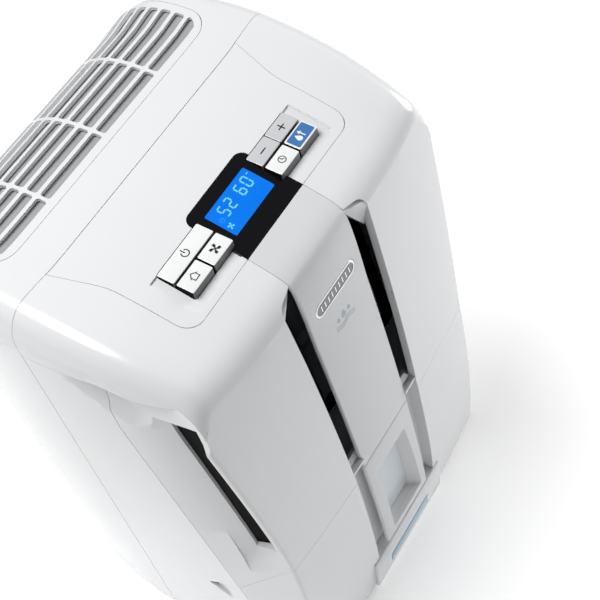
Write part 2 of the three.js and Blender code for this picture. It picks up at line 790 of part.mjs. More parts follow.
const KEY_LOW_Z = boardTop + 6;
const keyPlaneZ = (y) => {
  const share = (KEY_BACK_Y - y) / (KEY_BACK_Y - KEY_FRONT_Y);
  return topZ(KEY_BACK_Y) + 0.3 + share * (topZ(KEY_FRONT_Y) + KEY_RISE - topZ(KEY_BACK_Y) - 0.3);
};
const KEY_MID_X = (KEY_INNER_X + KEY_OUTER_X) / 2;
const KEY_MID_Y = (KEY_BACK_Y + KEY_FRONT_Y) / 2;
const gap = KEY_GAP / 2;
const KEYS = [
  ["power_key", -1, KEY_INNER_X, KEY_OUTER_X, "back", FINISH.key],
  ["fan_key", -1, KEY_INNER_X, KEY_MID_X - gap, "front", FINISH.key],
  ["eco_key", -1, KEY_MID_X + gap, KEY_OUTER_X, "front", FINISH.key],
  ["minus_key", 1, KEY_INNER_X, KEY_MID_X - gap, "back", FINISH.silver],
  ["plus_key", 1, KEY_MID_X + gap, KEY_OUTER_X, "back", FINISH.silver],
  ["timer_key", 1, KEY_INNER_X, KEY_MID_X - gap, "front", FINISH.silver],
  ["pump_key", 1, KEY_MID_X + gap, KEY_OUTER_X, "front", FINISH.blueKey],
];
const switches = [];
for (const [name, side, inner, outer, row, finish] of KEYS) {
  const back = row === "back" ? KEY_BACK_Y : KEY_MID_Y - gap;
  const front = row === "back" ? KEY_MID_Y + gap : KEY_FRONT_Y;
  const profile = shapeOf([
    [front, KEY_LOW_Z],
    [back, KEY_LOW_Z],
    [back, keyPlaneZ(back)],
    [front + 1.2, keyPlaneZ(front)],
    [front, keyPlaneZ(front) - 1.4],
  ]);
  const low = side > 0 ? inner : -outer;
  const high = side > 0 ? outer : -inner;
  addPart(name, prismX(profile, low, high), finish);
  const x = (low + high) / 2;
  const y = (front + back) / 2;
  const top = KEY_LOW_Z - KEY_TRAVEL - FIT;
  switches.push(box([x - 3, y - 3, boardTop - 0.5], [x + 3, y + 3, top]));
}
const boardHalf = KEY_OUTER_X + 8;
const boardPlate = box(
  [-boardHalf, KEY_FRONT_Y - 6, boardTop - 1.6],
  [boardHalf, KEY_BACK_Y + 6, boardTop],
);
addPart("control_board", join(boardPlate, ...switches), FINISH.board);

// ---------------------------------------------------------------- spine

/** Y of the spine's face. */
function spineY(z) {
  const share = Math.max(z - SPINE_FOOT_Z, 0) / (BROW_Z - 8 - SPINE_FOOT_Z);
  return FRONT_Y + 0.1 + SPINE_LEAN * share ** 1.55;
}

/** A strip in YZ that follows a chain of points, with a thickness towards the inside. */
function stripShape(chain, thickness) {
  const inner = chain.map(([y, z], i) => {
    const before = chain[Math.max(i - 1, 0)];
    const after = chain[Math.min(i + 1, chain.length - 1)];
    const along = new THREE.Vector2(after[0] - before[0], after[1] - before[1]).normalize();
    const deep = thickness(z);
    return [y - along.y * deep, z + along.x * deep];
  });
  return shapeOf([...chain, ...inner.reverse()]);
}

const spineTopY = PANEL_FRONT_Y - half;
const spineBrow = [-114, topZ(-114)];
const spineTurn = [spineY(BROW_Z - 8) + 2.6, topZ(-114) - 7.5];
const spineChain = [[spineTopY, topZ(spineTopY)], [-106, topZ(-106)]];
for (let i = 0; i <= 5; i++) {
  const t = i / 5;
  const end = [spineY(BROW_Z - 8), BROW_Z - 8];
  spineChain.push([
    (1 - t) ** 2 * spineBrow[0] + 2 * t * (1 - t) * spineTurn[0] + t * t * end[0],
    (1 - t) ** 2 * spineBrow[1] + 2 * t * (1 - t) * spineTurn[1] + t * t * end[1],
  ]);
}
for (const z of [405, 355, 300, 255]) spineChain.push([spineY(z), z]);
spineChain.push([spineY(TANK_SEAM_Z + half), TANK_SEAM_Z + half]);
const spineDeep = (z) => (z > BROW_Z ? WALL : SPINE_DEPTH - 2.5);
const spineStrip = stripShape(spineChain, spineDeep);

const BADGE = { z: 419, half: 28, tall: 7.2, deep: 1.2 };
const badgePill = (grow, low, high) =>
  prismY(
    roundedRect(
      -BADGE.half - grow,
      BADGE.half + grow,
      BADGE.z - BADGE.tall - grow,
      BADGE.z + BADGE.tall + grow,
      BADGE.tall + grow - 0.1,
    ),
    low,
    high,
  );
const badgeSeat = spineY(BADGE.z) + BADGE.deep;
addPart(
  "centre_spine",
  cut(
    prismX(spineStrip, -SPINE_HALF + half, SPINE_HALF - half),
    badgePill(FIT, FRONT_Y - 30, badgeSeat + 0.8),
    box([-FAR, spineTopY, 0], [FAR, FAR, FAR * 2]),
    box([-FAR, -FAR, 0], [FAR, FAR, TANK_SEAM_Z + half]),
  ),
  FINISH.satin,
);
addPart("badge", badgePill(0, spineY(BADGE.z + BADGE.tall) - 0.6, badgeSeat), FINISH.silver);

// ---------------------------------------------------------------- tank front

const FOOT_HALF = 63.5;
const FOOT_TOP_Z = 54;
const footBlock = prismX(
  shapeOf([
    [FRONT_Y + 3.5, SKIRT_Z - 2],
    [FRONT_Y + 18, SKIRT_Z - 2],
    [FRONT_Y + 18, FOOT_TOP_Z],
    [FRONT_Y + 1.5, FOOT_TOP_Z],
    [FRONT_Y + 0.2, FOOT_TOP_Z - 5],
  ]),
  -FOOT_HALF,
  FOOT_HALF,
);
const STRIP = { half: 36.5, low: 15, high: 30, deep: 3.5 };
const stripSlot = box(
  [-STRIP.half, FRONT_Y - 5, STRIP.low],
  [STRIP.half, FRONT_Y + 2 + STRIP.deep, STRIP.high],
);
const tankFace = cut(
  skin.intersect(tankZone(half)).intersect(box([-FAR, -FAR, -20], [FAR, SPLIT_Y - 30, FAR])),
  channelTool(FOOT_TOP_Z, TANK_SEAM_Z + 5, CHANNEL_DEPTH),
  sideZone(-half, 1),
  sideZone(-half, -1),
);
/** A boss on the tank front, up to the face of the tank behind it. */
const tankBoss = (x) =>
  box([x - 5, FRONT_Y + 6, 118], [x + 5, frontY(TANK_SEAM_Z) + CHANNEL_DEPTH + WALL + 1 - FIT, 136]);
addPart(
  "tank_front",
  cut(
    join(
      tankFace,
      channelTray(FOOT_TOP_Z - 2, TANK_SEAM_Z - half),
      footBlock,
      tankBoss(-100),
      tankBoss(100),
    ),
    stripSlot,
  ),
  FINISH.white,
);
addPart(
  "indicator_strip",
  box(
    [-STRIP.half + FIT, FRONT_Y + 2.2, STRIP.low + FIT],
    [STRIP.half - FIT, FRONT_Y + 2 + STRIP.deep - FIT, STRIP.high - 3.5],
  ),
  FINISH.paleBlue,
);

const POCKET = { half: 25.5, low: 72, high: 183 };
const WINDOW_THICK = 2;
const footChain = [205, 160, 110, SPINE_FOOT_Z + 6].map((z) => [spineY(z), z]);
const footSpine = prismX(
  shapeOf([
    [spineY(TANK_SEAM_Z - half), TANK_SEAM_Z - half],
    ...footChain,
    [spineY(SPINE_FOOT_Z) + 2, SPINE_FOOT_Z],
    [FRONT_Y + 40, SPINE_FOOT_Z],
    [FRONT_Y + 40, TANK_SEAM_Z - half],
  ]),
  -SPINE_HALF + 1.5,
  SPINE_HALF - 1.5,
).intersect(channelTool(FOOT_TOP_Z - 7, TANK_SEAM_Z - half + 5, CHANNEL_DEPTH - FIT));
const pocketTool = (shrink) =>
  box(
    [-POCKET.half + shrink, FRONT_Y - 5, POCKET.low + shrink],
    [POCKET.half - shrink, FRONT_Y + 40, POCKET.high - shrink],
  );
addPart("spine_grip", cut(footSpine, pocketTool(0)), FINISH.satin);
addPart(
  "level_window",
  cut(
    footSpine.intersect(pocketTool(FIT)),
    channelTool(FOOT_TOP_Z - 7, TANK_SEAM_Z - half + 5, CHANNEL_DEPTH - FIT - WINDOW_THICK),
  ),
  FINISH.clear,
);

// ---------------------------------------------------------------- water tank

const tankHalf = HALF_W - TANK_SIDE_GAP;
const tankFrontY = frontY(TANK_SEAM_Z) + CHANNEL_DEPTH + WALL + 1;
const tankOutline = (inset) =>
  roundedRect(-tankHalf + inset, tankHalf - inset, tankFrontY + inset, TANK_BACK_Y - inset, 14);
addPart(
  "water_tank",
  cut(
    prismZ(tankOutline(0), TANK_LOW_Z, TANK_HIGH_Z),
    prismZ(tankOutline(TANK_WALL), TANK_LOW_Z + TANK_WALL, TANK_HIGH_Z + 5),
  ),
  FINISH.clear,
);
const lidLow = TANK_HIGH_Z + FIT;
const lidHigh = lidLow + LID_THICK;
const bailY = -88;
const bailZ = lidHigh + 6.7;
const ear = (side) =>
  cut(
    box(
      side > 0 ? [BAIL_HALF + 3.5, bailY - 6, lidHigh - 1] : [-BAIL_HALF - 9.5, bailY - 6, lidHigh - 1],
      side > 0 ? [BAIL_HALF + 9.5, bailY + 6, bailZ + 5] : [-BAIL_HALF - 3.5, bailY + 6, bailZ + 5],
    ),
    rod([-FAR, bailY, bailZ], [FAR, bailY, bailZ], BAIL_PIN_R + RUN, 12),
  );
const FLOAT_Y = -30;
const FLOAT_PIVOT_Z = TANK_HIGH_Z - 8;
const lug = (side) =>
  cut(
    box(
      [side * 8.5 - 1.5, FLOAT_Y - 4, FLOAT_PIVOT_Z - 5],
      [side * 8.5 + 1.5, FLOAT_Y + 4, lidLow + 1],
    ),
    rod([-20, FLOAT_Y, FLOAT_PIVOT_Z], [20, FLOAT_Y, FLOAT_PIVOT_Z], 1.8 + RUN, 10),
  );
addPart(
  "tank_lid",
  join(
    cut(prismZ(tankOutline(1), lidLow, lidHigh), box([-18, -24, lidLow - 5], [18, 0, lidHigh + 5])),
    ear(1),
    ear(-1),
    lug(1),
    lug(-1),
  ),
  FINISH.clear,
);
const bailArm = (side) =>
  box(
    [side > 0 ? BAIL_HALF - 2 : -BAIL_HALF - 2, bailY - 3.5, bailZ - 3],
    [side > 0 ? BAIL_HALF + 2 : -BAIL_HALF + 2, bailY + BAIL_REACH, bailZ + 3],
  );
addPart(
  "tank_handle",
  join(
    bailArm(1),
    bailArm(-1),
    box(
      [-BAIL_HALF - 2, bailY + BAIL_REACH - 9, bailZ - 4],
      [BAIL_HALF + 2, bailY + BAIL_REACH, bailZ + 4],
    ),
    rod([BAIL_HALF, bailY, bailZ], [BAIL_HALF + 9, bailY, bailZ], BAIL_PIN_R, 12),
    rod([-BAIL_HALF - 9, bailY, bailZ], [-BAIL_HALF, bailY, bailZ], BAIL_PIN_R, 12),
  ),
  FINISH.satin,
);
const floatLow = FLOAT_PIVOT_Z - 75;
const armBox = (grow) =>
  box(
    [-4 - grow, FLOAT_Y - 2 - grow, floatLow + 12 - grow],
    [4 + grow, FLOAT_Y + 2 + grow, FLOAT_PIVOT_Z + 3.5],
  );
addPart(
  "float_arm",
  join(
    armBox(0),
    rod([-11, FLOAT_Y, FLOAT_PIVOT_Z], [11, FLOAT_Y, FLOAT_PIVOT_Z], 1.8, 10),
  ),
  FINISH.satin,
);
addPart(
  "float",
  cut(box([-18, FLOAT_Y - 12, floatLow], [18, FLOAT_Y + 12, floatLow + 28]), armBox(FIT)),
  FINISH.foam,
);

// ---------------------------------------------------------------- chassis and casters

const frontCasterY = -108;
const rearCasterY = 108;
const casterX = HALF_W - 62;
const CASTERS = [
  ["front_left", -casterX, frontCasterY],
  ["front_right", casterX, frontCasterY],
  ["rear_left", -casterX, rearCasterY],
  ["rear_right", casterX, rearCasterY],
];
const deckHigh = DECK_Z + DECK_THICK;
const deckPlate = walls(WALL + 1, [DECK_Z, deckHigh]).intersect(
  box([-FAR, FRONT_Y + 24, 0], [FAR, FAR, FAR]),
);
const rail = (side) =>
  box([side * 100 - 4, FRONT_Y + 26, deckHigh - 1], [side * 100 + 4, TANK_BACK_Y, TANK_LOW_Z - RUN]);
/** Room beside the deck for the wings of the tank front. */
const wingSpace = (side) =>
  box(
    [side > 0 ? CORNER_X_REF : -FAR, -FAR, 0],
    [side > 0 ? FAR : -CORNER_X_REF, FRONT_Y + 55, FAR],
  );
addPart(
  "base_deck",
  cut(
    cut(join(deckPlate, rail(1), rail(-1)), wingSpace(1), wingSpace(-1)),
    ...CASTERS.map(([, x, y]) => rod([x, y, 0], [x, y, deckHigh + 9], STEM_R + FIT, 14)),
  ),
  FINISH.darkMetal,
);
const wheelProfile = [
  [AXLE_R + RUN, -WHEEL_WIDTH / 2],
  [WHEEL_R - 1.2, -WHEEL_WIDTH / 2],
  [WHEEL_R, -WHEEL_WIDTH / 2 + 1.2],
  [WHEEL_R, WHEEL_WIDTH / 2 - 1.2],
  [WHEEL_R - 1.2, WHEEL_WIDTH / 2],
  [AXLE_R + RUN, WHEEL_WIDTH / 2],
  [AXLE_R + RUN, -WHEEL_WIDTH / 2],
].map(([r, h]) => new THREE.Vector2(r, h));
for (const [place, x, y] of CASTERS) {
  const axleY = y + CASTER_TRAIL;
  const legX = WHEEL_WIDTH / 2 + RUN;
  const leg = (side) =>
    box(
      [x + (side > 0 ? legX : -legX - 2.5), y - 4, WHEEL_R - 4],
      [x + (side > 0 ? legX + 2.5 : -legX), axleY + 4, WHEEL_R * 2 + 3],
    );
  const crown = box(
    [x - legX - 2.5, y - 4, WHEEL_R * 2 + 1.5],
    [x + legX + 2.5, axleY + 4, WHEEL_R * 2 + 4.5],
  );
  const shoulderRing = rod([x, y, WHEEL_R * 2 + 3], [x, y, DECK_Z - 1], STEM_R + 4, 12);
  const stem = rod([x, y, WHEEL_R * 2 + 3], [x, y, deckHigh - 0.5], STEM_R, 12);
  const axle = rod([x - legX - 1, axleY, WHEEL_R], [x + legX + 1, axleY, WHEEL_R], AXLE_R, 8);
  addPart(
    `caster_fork_${place}`,
    join(crown, leg(1), leg(-1), shoulderRing, stem, axle),
    FINISH.darkMetal,
  );
  const wheel = new THREE.LatheGeometry(wheelProfile, 16).rotateZ(Math.PI / 2);
  addPart(`caster_wheel_${place}`, solid(wheel.translate(x, axleY, WHEEL_R)), FINISH.rubber);
}

// ---------------------------------------------------------------- air path

const guardLevels = [SLOT_FLOOR_Z - 1, 260, 300, 345, EAVE_Z - 61, EAVE_Z - 22];
const guardY = -110;
const guardPlate = leantPrism(
  shapeOf([
    [-CORNER_X_REF + 4, guardY],
    [CORNER_X_REF - 4, guardY],
    [CORNER_X_REF - 4, guardY + 3],
    [-CORNER_X_REF + 4, guardY + 3],
  ]),
  guardLevels,
);
const guardSlots = [];
for (let i = 0; i < GUARD_SLATS; i++) {
  const pitch = (2 * CORNER_X_REF - 40) / GUARD_SLATS;
  const x = -CORNER_X_REF + 20 + pitch * (i + 0.5);
  guardSlots.push(
    box([x - pitch * 0.32, guardY - 30, SLOT_FLOOR_Z + 12], [x + pitch * 0.32, -40, EAVE_Z - 40]),
  );
}
addPart("front_intake_guard", cut(guardPlate, ...guardSlots), FINISH.black);

const intakeHoles = [];
for (let i = 0; i < INTAKE_SLOTS; i++) {
  const pitch = (INTAKE_HIGH_Z - INTAKE_LOW_Z - 12) / INTAKE_SLOTS;
  const z = INTAKE_LOW_Z + 6 + pitch * (i + 0.5);
  for (const side of [-1, 1]) {
    const middle = (side * (INTAKE_HALF - 2)) / 2;
    const reach = INTAKE_HALF / 2 - 6;
    intakeHoles.push(
      box(
        [middle - reach, BACK_Y - 8, z - pitch / 2 + 2],
        [middle + reach, BACK_Y + 5, z + pitch / 2 - 2],
      ),
    );
  }
}
const filterBack = BACK_Y - WALL - 3.5;
const post = (x, z) => box([x - 3, filterBack + FIT, z - 3], [x + 3, BACK_Y - 2, z + 3]);
const postX = INTAKE_HALF - 4;
addPart(
  "intake_grille",
  join(
    cut(
      box([-INTAKE_HALF, BACK_Y - WALL, INTAKE_LOW_Z], [INTAKE_HALF, BACK_Y - 0.2, INTAKE_HIGH_Z]),
      ...intakeHoles,
    ),
    post(-postX, INTAKE_LOW_Z + 4),
    post(postX, INTAKE_LOW_Z + 4),
    post(-postX, INTAKE_HIGH_Z - 4),
    post(postX, INTAKE_HIGH_Z - 4),
  ),
  FINISH.white,
);
const filterHoles = [];
for (const column of [-1, 0, 1]) {
  for (const row of [0, 1, 2]) {
    const x = column * 58;
    const tall = (INTAKE_HIGH_Z - INTAKE_LOW_Z - 20) / 3;
    const z = INTAKE_LOW_Z + 10 + tall * (row + 0.5);
    filterHoles.push(
      box([x - 26, BACK_Y - 40, z - tall / 2 + 2], [x + 26, filterBack - 1.5, z + tall / 2 - 2]),
    );
  }
}
addPart(
  "air_filter",
  cut(
    box(
      [-INTAKE_HALF + 1, filterBack - FILTER_THICK, INTAKE_LOW_Z + 1],
      [INTAKE_HALF - 1, filterBack, INTAKE_HIGH_Z - 1],
    ),
    ...filterHoles,
  ),
  FINISH.foam,
);

const midHigh = MID_DECK_Z + 3;
addPart(
  "middle_deck",
  cut(
    walls(WALL + 1, [MID_DECK_Z, midHigh]).intersect(box([-FAR, SPLIT_Y + 6, 0], [FAR, FAR, FAR])),
    box([HALF_W - 50, 60, 0], [HALF_W - 24, 128, FAR]),
  ),
  FINISH.satin,
);
const trayOuter = box([-COIL_HALF - 10, 82, midHigh + FIT], [COIL_HALF + 6, 144, midHigh + 13]);
const trayInner = box([-COIL_HALF - 8, 84, midHigh + FIT + 2], [COIL_HALF + 4, 142, midHigh + 30]);
addPart("drip_tray", cut(trayOuter, trayInner), FINISH.satin);

const coilLow = midHigh + FIT + 2.7;
const coilHigh = coilLow + COIL_HEIGHT;
/** A finned coil: grooved block, end plates, and hairpin bends on its left end. */
function coil(y) {
  const grooves = [];
  for (let i = -3; i <= 3; i++) {
    const x = (i * COIL_HALF) / 4;
    grooves.push(box([x - 1, y - 1, coilLow + 4], [x + 1, y + 3, coilHigh - 4]));
  }
  const core = cut(
    box([-COIL_HALF + 8, y, coilLow + 2], [COIL_HALF - 8, y + COIL_THICK, coilHigh - 2]),
    ...grooves,
  );
  const plate = (x) => box([x - 0.8, y - 1, coilLow], [x + 0.8, y + COIL_THICK + 1, coilHigh]);
  const bends = [0.2, 0.5, 0.8].map((share) => {
    const z = coilLow + COIL_HEIGHT * share;
    const middle = y + COIL_THICK / 2;
    const start = -COIL_HALF + 7.5;
    return pipe(
      [
        [start, middle, z - 9],
        [start - 8, middle, z - 8],
        [start - 12, middle, z],
        [start - 8, middle, z + 8],
        [start, middle, z + 9],
      ],
      3.2,
      8,
      6,
    );
  });
  return join(core, plate(-COIL_HALF + 8), plate(COIL_HALF - 8), ...bends);
}
const evaporatorY = 118;
const condenserY = 92;
addPart("evaporator", coil(evaporatorY), FINISH.metal);
addPart("condenser", coil(condenserY), FINISH.copper);

const SCROLL_R = FAN_R + 14;
const scrollFront = FAN_Y - FAN_WIDTH / 2 - 5;
const scrollBack = FAN_Y + FAN_WIDTH / 2 + 5;
const scrollTop = BODY_HEIGHT - 26;
function scrollShape(inset) {
  const r = SCROLL_R - inset;
  const shape = new THREE.Shape();
  shape.moveTo(-r, scrollTop + inset * 4);
  shape.lineTo(-r, FAN_Z);
  shape.absarc(0, FAN_Z, r, Math.PI, 2 * Math.PI);
  shape.lineTo(r, scrollTop + inset * 4);
  return shape;
}
addPart(
  "fan_scroll",
  cut(
    prismY(scrollShape(0), scrollFront, scrollBack),
    prismY(scrollShape(2), scrollFront + 2, scrollBack - 2),
    rod([0, scrollBack - 4, FAN_Z], [0, scrollBack + 4, FAN_Z], FAN_R - 16, 24),
    rod([0, scrollFront - 4, FAN_Z], [0, scrollFront + 4, FAN_Z], 12, 16),
  ),
  FINISH.satin,
);
const blades = [];
const BLADES = 16;
for (let i = 0; i < BLADES; i++) {
  const blade = new THREE.BoxGeometry(1.6, FAN_WIDTH - 4, 14)
    .rotateY(0.6)
    .translate(0, FAN_Y, FAN_R - 9)
    .rotateY((i / BLADES) * 2 * Math.PI);
  blades.push(solid(blade.translate(0, 0, FAN_Z)));
}
const fanFront = FAN_Y - FAN_WIDTH / 2;
const fanBack = FAN_Y + FAN_WIDTH / 2;
const ring = cut(
  rod([0, fanBack - 3, FAN_Z], [0, fanBack, FAN_Z], FAN_R, 32),
  rod([0, fanBack - 9, FAN_Z], [0, fanBack + 5, FAN_Z], FAN_R - 16, 32),
);
const SHAFT_R = 3;
addPart(
  "fan_impeller",
  join(
    rod([0, fanFront, FAN_Z], [0, fanFront + 3, FAN_Z], FAN_R, 32),
    ring,
    rod([0, fanFront, FAN_Z], [0, fanFront + 18, FAN_Z], 11, 16),
    rod([0, scrollFront - 14, FAN_Z], [0, fanFront + 5, FAN_Z], SHAFT_R, 12),
    ...blades,
  ),
  FINISH.darkMetal,
);
addPart(
  "fan_motor",
  cut(
    join(
      rod([0, scrollFront - 34, FAN_Z], [0, scrollFront - 3, FAN_Z], 32, 24),
      box([-40, scrollFront - 3.5, FAN_Z - 8], [40, scrollFront - FIT, FAN_Z + 8]),
    ),
    rod([0, scrollFront - 16, FAN_Z], [0, scrollFront + 5, FAN_Z], SHAFT_R + RUN, 12),
  ),
  FINISH.darkMetal,
);

// ---------------------------------------------------------------- refrigerant circuit and pump

const COMPRESSOR = { x: 72, y: 90, z: deckHigh + 9 };
addPart(
  "compressor_mount",
  box(
    [COMPRESSOR.x - 40, COMPRESSOR.y - 40, deckHigh + FIT],
    [COMPRESSOR.x + 40, COMPRESSOR.y + 40, COMPRESSOR.z - FIT],
  ),
  FINISH.rubber,
);
addPart(
  "compressor",
  turned(
    [
      [0, 0],
      [COMPRESSOR_R - 8, 0],
      [COMPRESSOR_R, 9],
      [COMPRESSOR_R, COMPRESSOR_HEIGHT - 22],
      [COMPRESSOR_R - 12, COMPRESSOR_HEIGHT - 6],
      [0, COMPRESSOR_HEIGHT],
    ],
    [COMPRESSOR.x, COMPRESSOR.y, COMPRESSOR.z],
  ),
  FINISH.darkMetal,
);
const accumulatorX = COMPRESSOR.x - COMPRESSOR_R - 22;
const accumulatorTop = deckHigh + 124;
addPart(
  "accumulator",
  rod([accumulatorX, 100, deckHigh + 24], [accumulatorX, 100, accumulatorTop], 15, 18),
  FINISH.darkMetal,
);
const shaftX = HALF_W - 37; // the pipes rise through the opening in the middle deck
const pipeEnd = COIL_HALF - 8 + 0.8 + FIT;
const coilSpace = box([-FAR, condenserY - 4, coilLow], [pipeEnd, BACK_Y, coilHigh]);
addPart(
  "discharge_line",
  cut(
    pipe(
      [
        [COMPRESSOR.x + 20, COMPRESSOR.y, COMPRESSOR.z + COMPRESSOR_HEIGHT - 1],
        [COMPRESSOR.x + 24, COMPRESSOR.y, COMPRESSOR.z + COMPRESSOR_HEIGHT + 8],
        [shaftX - 6, COMPRESSOR.y - 4, MID_DECK_Z - 6],
        [shaftX, 101, MID_DECK_Z + 30],
        [shaftX, 101, coilHigh - 40],
        [shaftX - 6, 101, coilHigh - 24],
        [pipeEnd - 3, 101, coilHigh - 20],
      ],
      PIPE_R - 1,
      22,
    ),
    coilSpace,
    box([-FAR, -FAR, 0], [FAR, FAR, COMPRESSOR.z + COMPRESSOR_HEIGHT + FIT]),
  ),
  FINISH.copper,
);
addPart(
  "suction_line",
  cut(
    pipe(
      [
        [accumulatorX, 100, accumulatorTop - 4],
        [accumulatorX + 2, 101, accumulatorTop + 16],
        [accumulatorX + 30, 120, MID_DECK_Z - 14],
        [shaftX - 20, 122, MID_DECK_Z - 12],
        [shaftX + 2, 120, MID_DECK_Z + 14],
        [shaftX + 1, 126, MID_DECK_Z + 50],
        [pipeEnd - 3, 127, MID_DECK_Z + 60],
      ],
      PIPE_R,
      24,
    ),
    coilSpace,
    box([-FAR, -FAR, 0], [FAR, FAR, accumulatorTop + FIT]),
  ),
  FINISH.copper,
);
addPart(
  "capillary_tube",
  cut(
    pipe(
      [
        [pipeEnd - 3, 101, coilLow + 100],
        [pipeEnd + 12, 104, coilLow + 100],
        [pipeEnd + 14, 118, coilLow + 108],
        [pipeEnd - 3, 127, coilLow + 112],
      ],
      1.6,
      14,
      6,
    ),
    coilSpace,
  ),
  FINISH.copper,
);
const PUMP = { x: -88, y: 64 };
addPart(
  "condensate_pump",
  join(
    box([PUMP.x - 30, PUMP.y - 24, deckHigh + FIT], [PUMP.x + 30, PUMP.y + 24, deckHigh + 50]),
    rod([PUMP.x, PUMP.y, deckHigh + 49], [PUMP.x, PUMP.y, deckHigh + 74], 16, 16),
    rod([PUMP.x, PUMP.y + 20, deckHigh + 40], [PUMP.x, PUMP.y + 32, deckHigh + 40], 4, 10),
  ),
  FINISH.darkMetal,
);
addPart(
  "drain_hose",
  cut(
    pipe(
      [
        [PUMP.x, PUMP.y + 28, deckHigh + 40],
        [PUMP.x, PUMP.y + 46, deckHigh + 42],
        [HOSE.x, PUMP.y + 66, HOSE.z - 8],
        [HOSE.x, BACK_Y - 24, HOSE.z],
        [HOSE.x, BACK_Y - 15 - FIT, HOSE.z],
      ],
      PIPE_R,
      16,
    ),
    box([-FAR, -FAR, 0], [FAR, PUMP.y + 32 + FIT, FAR]),
  ),
  FINISH.foam,
);
/** A round fitting set in the back wall, with a bore. */
const backFitting = ({ x, z, r }, bore) =>
  cut(
    join(
      rod([x, BACK_Y - 14, z], [x, BACK_Y - 0.5, z], r),
      rod([x, BACK_Y - WALL - 4, z], [x, BACK_Y - WALL - 1, z], r + 3),
    ),
    rod([x, BACK_Y - 20, z], [x, BACK_Y + 5, z], bore, 12),
  );
addPart("hose_outlet", backFitting(HOSE, 4.5), FINISH.satin);
addPart("cable_gland", backFitting(GLAND, 4), FINISH.black);
addPart(
  "run_capacitor",
  rod([-40, 118, deckHigh + FIT], [-40, 118, deckHigh + 62], 17, 18),
  FINISH.metal,
);

export default object;
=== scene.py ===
# %% [markdown]
# # A portable dehumidifier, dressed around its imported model
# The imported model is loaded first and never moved. Every surface that shows is then made again in
# finer steps from the same few sizes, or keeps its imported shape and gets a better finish.

# %% Load the frame
import json
import math

import bmesh
import bpy
from mathutils import Matrix, Vector

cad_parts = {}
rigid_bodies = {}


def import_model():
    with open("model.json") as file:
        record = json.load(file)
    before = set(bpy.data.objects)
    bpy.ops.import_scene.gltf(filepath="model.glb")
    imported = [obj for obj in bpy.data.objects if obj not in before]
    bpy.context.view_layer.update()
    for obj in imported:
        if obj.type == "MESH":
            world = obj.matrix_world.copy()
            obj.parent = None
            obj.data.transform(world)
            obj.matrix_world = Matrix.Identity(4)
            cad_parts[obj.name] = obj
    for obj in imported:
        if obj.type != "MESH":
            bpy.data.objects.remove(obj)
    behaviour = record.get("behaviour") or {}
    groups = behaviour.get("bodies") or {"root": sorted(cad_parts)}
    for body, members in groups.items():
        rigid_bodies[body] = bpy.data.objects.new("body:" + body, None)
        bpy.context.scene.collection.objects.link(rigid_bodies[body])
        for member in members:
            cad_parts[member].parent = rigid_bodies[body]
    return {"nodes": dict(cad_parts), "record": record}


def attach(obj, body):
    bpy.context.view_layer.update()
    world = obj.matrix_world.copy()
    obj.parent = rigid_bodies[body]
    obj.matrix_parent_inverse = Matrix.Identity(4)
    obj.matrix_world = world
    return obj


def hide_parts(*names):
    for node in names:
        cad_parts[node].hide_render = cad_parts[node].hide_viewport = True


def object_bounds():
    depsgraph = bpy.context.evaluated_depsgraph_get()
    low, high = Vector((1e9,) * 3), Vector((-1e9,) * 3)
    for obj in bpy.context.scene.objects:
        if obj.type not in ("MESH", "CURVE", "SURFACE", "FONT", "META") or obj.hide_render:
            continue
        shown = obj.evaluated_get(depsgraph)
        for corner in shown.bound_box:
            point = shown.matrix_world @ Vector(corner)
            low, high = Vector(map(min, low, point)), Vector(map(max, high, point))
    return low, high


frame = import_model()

cad_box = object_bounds()
low, high = (Vector(corner) for corner in cad_box)
print("packed model", [round(v, 4) for v in high - low])

# %% [markdown]
# ## Units
# The shapes are worked out in millimetres, as on a drawing, and scaled once when a mesh is finished.
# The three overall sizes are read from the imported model, so the dress always fits the body.

# %% Overall sizes
MM = 0.001
WIDTH, DEPTH, HEIGHT = (round(side / MM) for side in high - low)
HALF_W = WIDTH / 2
BACK_Y = DEPTH / 2
FRONT_Y = -BACK_Y
WALL = 3.0
HALF_SEAM = 0.2
FAR = 400.0
print("body", WIDTH, DEPTH, HEIGHT)

# %% [markdown]
# ## Camera
# The camera looks down on the front left corner. It comes first, so that every later step can be
# looked at from the same place.

# %% Camera
CAMERA_PLACE = Vector((-0.4244, -0.5149, 1.1966))
CAMERA_RIGHT = Vector((0.51777, -0.84079, -0.15810))
CAMERA_UP = Vector((0.74496, 0.35223, 0.56654))
camera_back = CAMERA_RIGHT.cross(CAMERA_UP).normalized()
camera_data = bpy.data.cameras.new("camera")
camera_data.lens = 76.8
camera_data.sensor_width = 36.0
camera = bpy.data.objects.new("camera", camera_data)
turn = Matrix((CAMERA_RIGHT, CAMERA_UP, camera_back)).transposed()
camera.matrix_world = Matrix.Translation(CAMERA_PLACE) @ turn.to_4x4()
bpy.context.scene.collection.objects.link(camera)
bpy.context.scene.camera = camera
print("camera at", [round(v, 3) for v in CAMERA_PLACE])

# %% [markdown]
# ## The studio
# A pale floor that runs far past the object, one wide lamp overhead towards the back left, one low
# at the front right, and a weak one low behind the left side. The bright top, the greyer front and the
# soft shadow at the right come from these.

# %% Floor and lamps
def lamp(name, place, aim, size, power):
    data = bpy.data.lights.new(name, "AREA")
    data.shape = "DISK"
    data.size = size
    data.energy = power
    made = bpy.data.objects.new(name, data)
    made.location = place
    made.rotation_euler = (Vector(aim) - Vector(place)).to_track_quat("-Z", "Y").to_euler()
    bpy.context.scene.collection.objects.link(made)


bm = bmesh.new()
bmesh.ops.create_grid(bm, x_segments=2, y_segments=2, size=6.0)
floor_mesh = bpy.data.meshes.new("floor")
bm.to_mesh(floor_mesh)
bm.free()
floor = bpy.data.objects.new("floor", floor_mesh)
bpy.context.scene.collection.objects.link(floor)

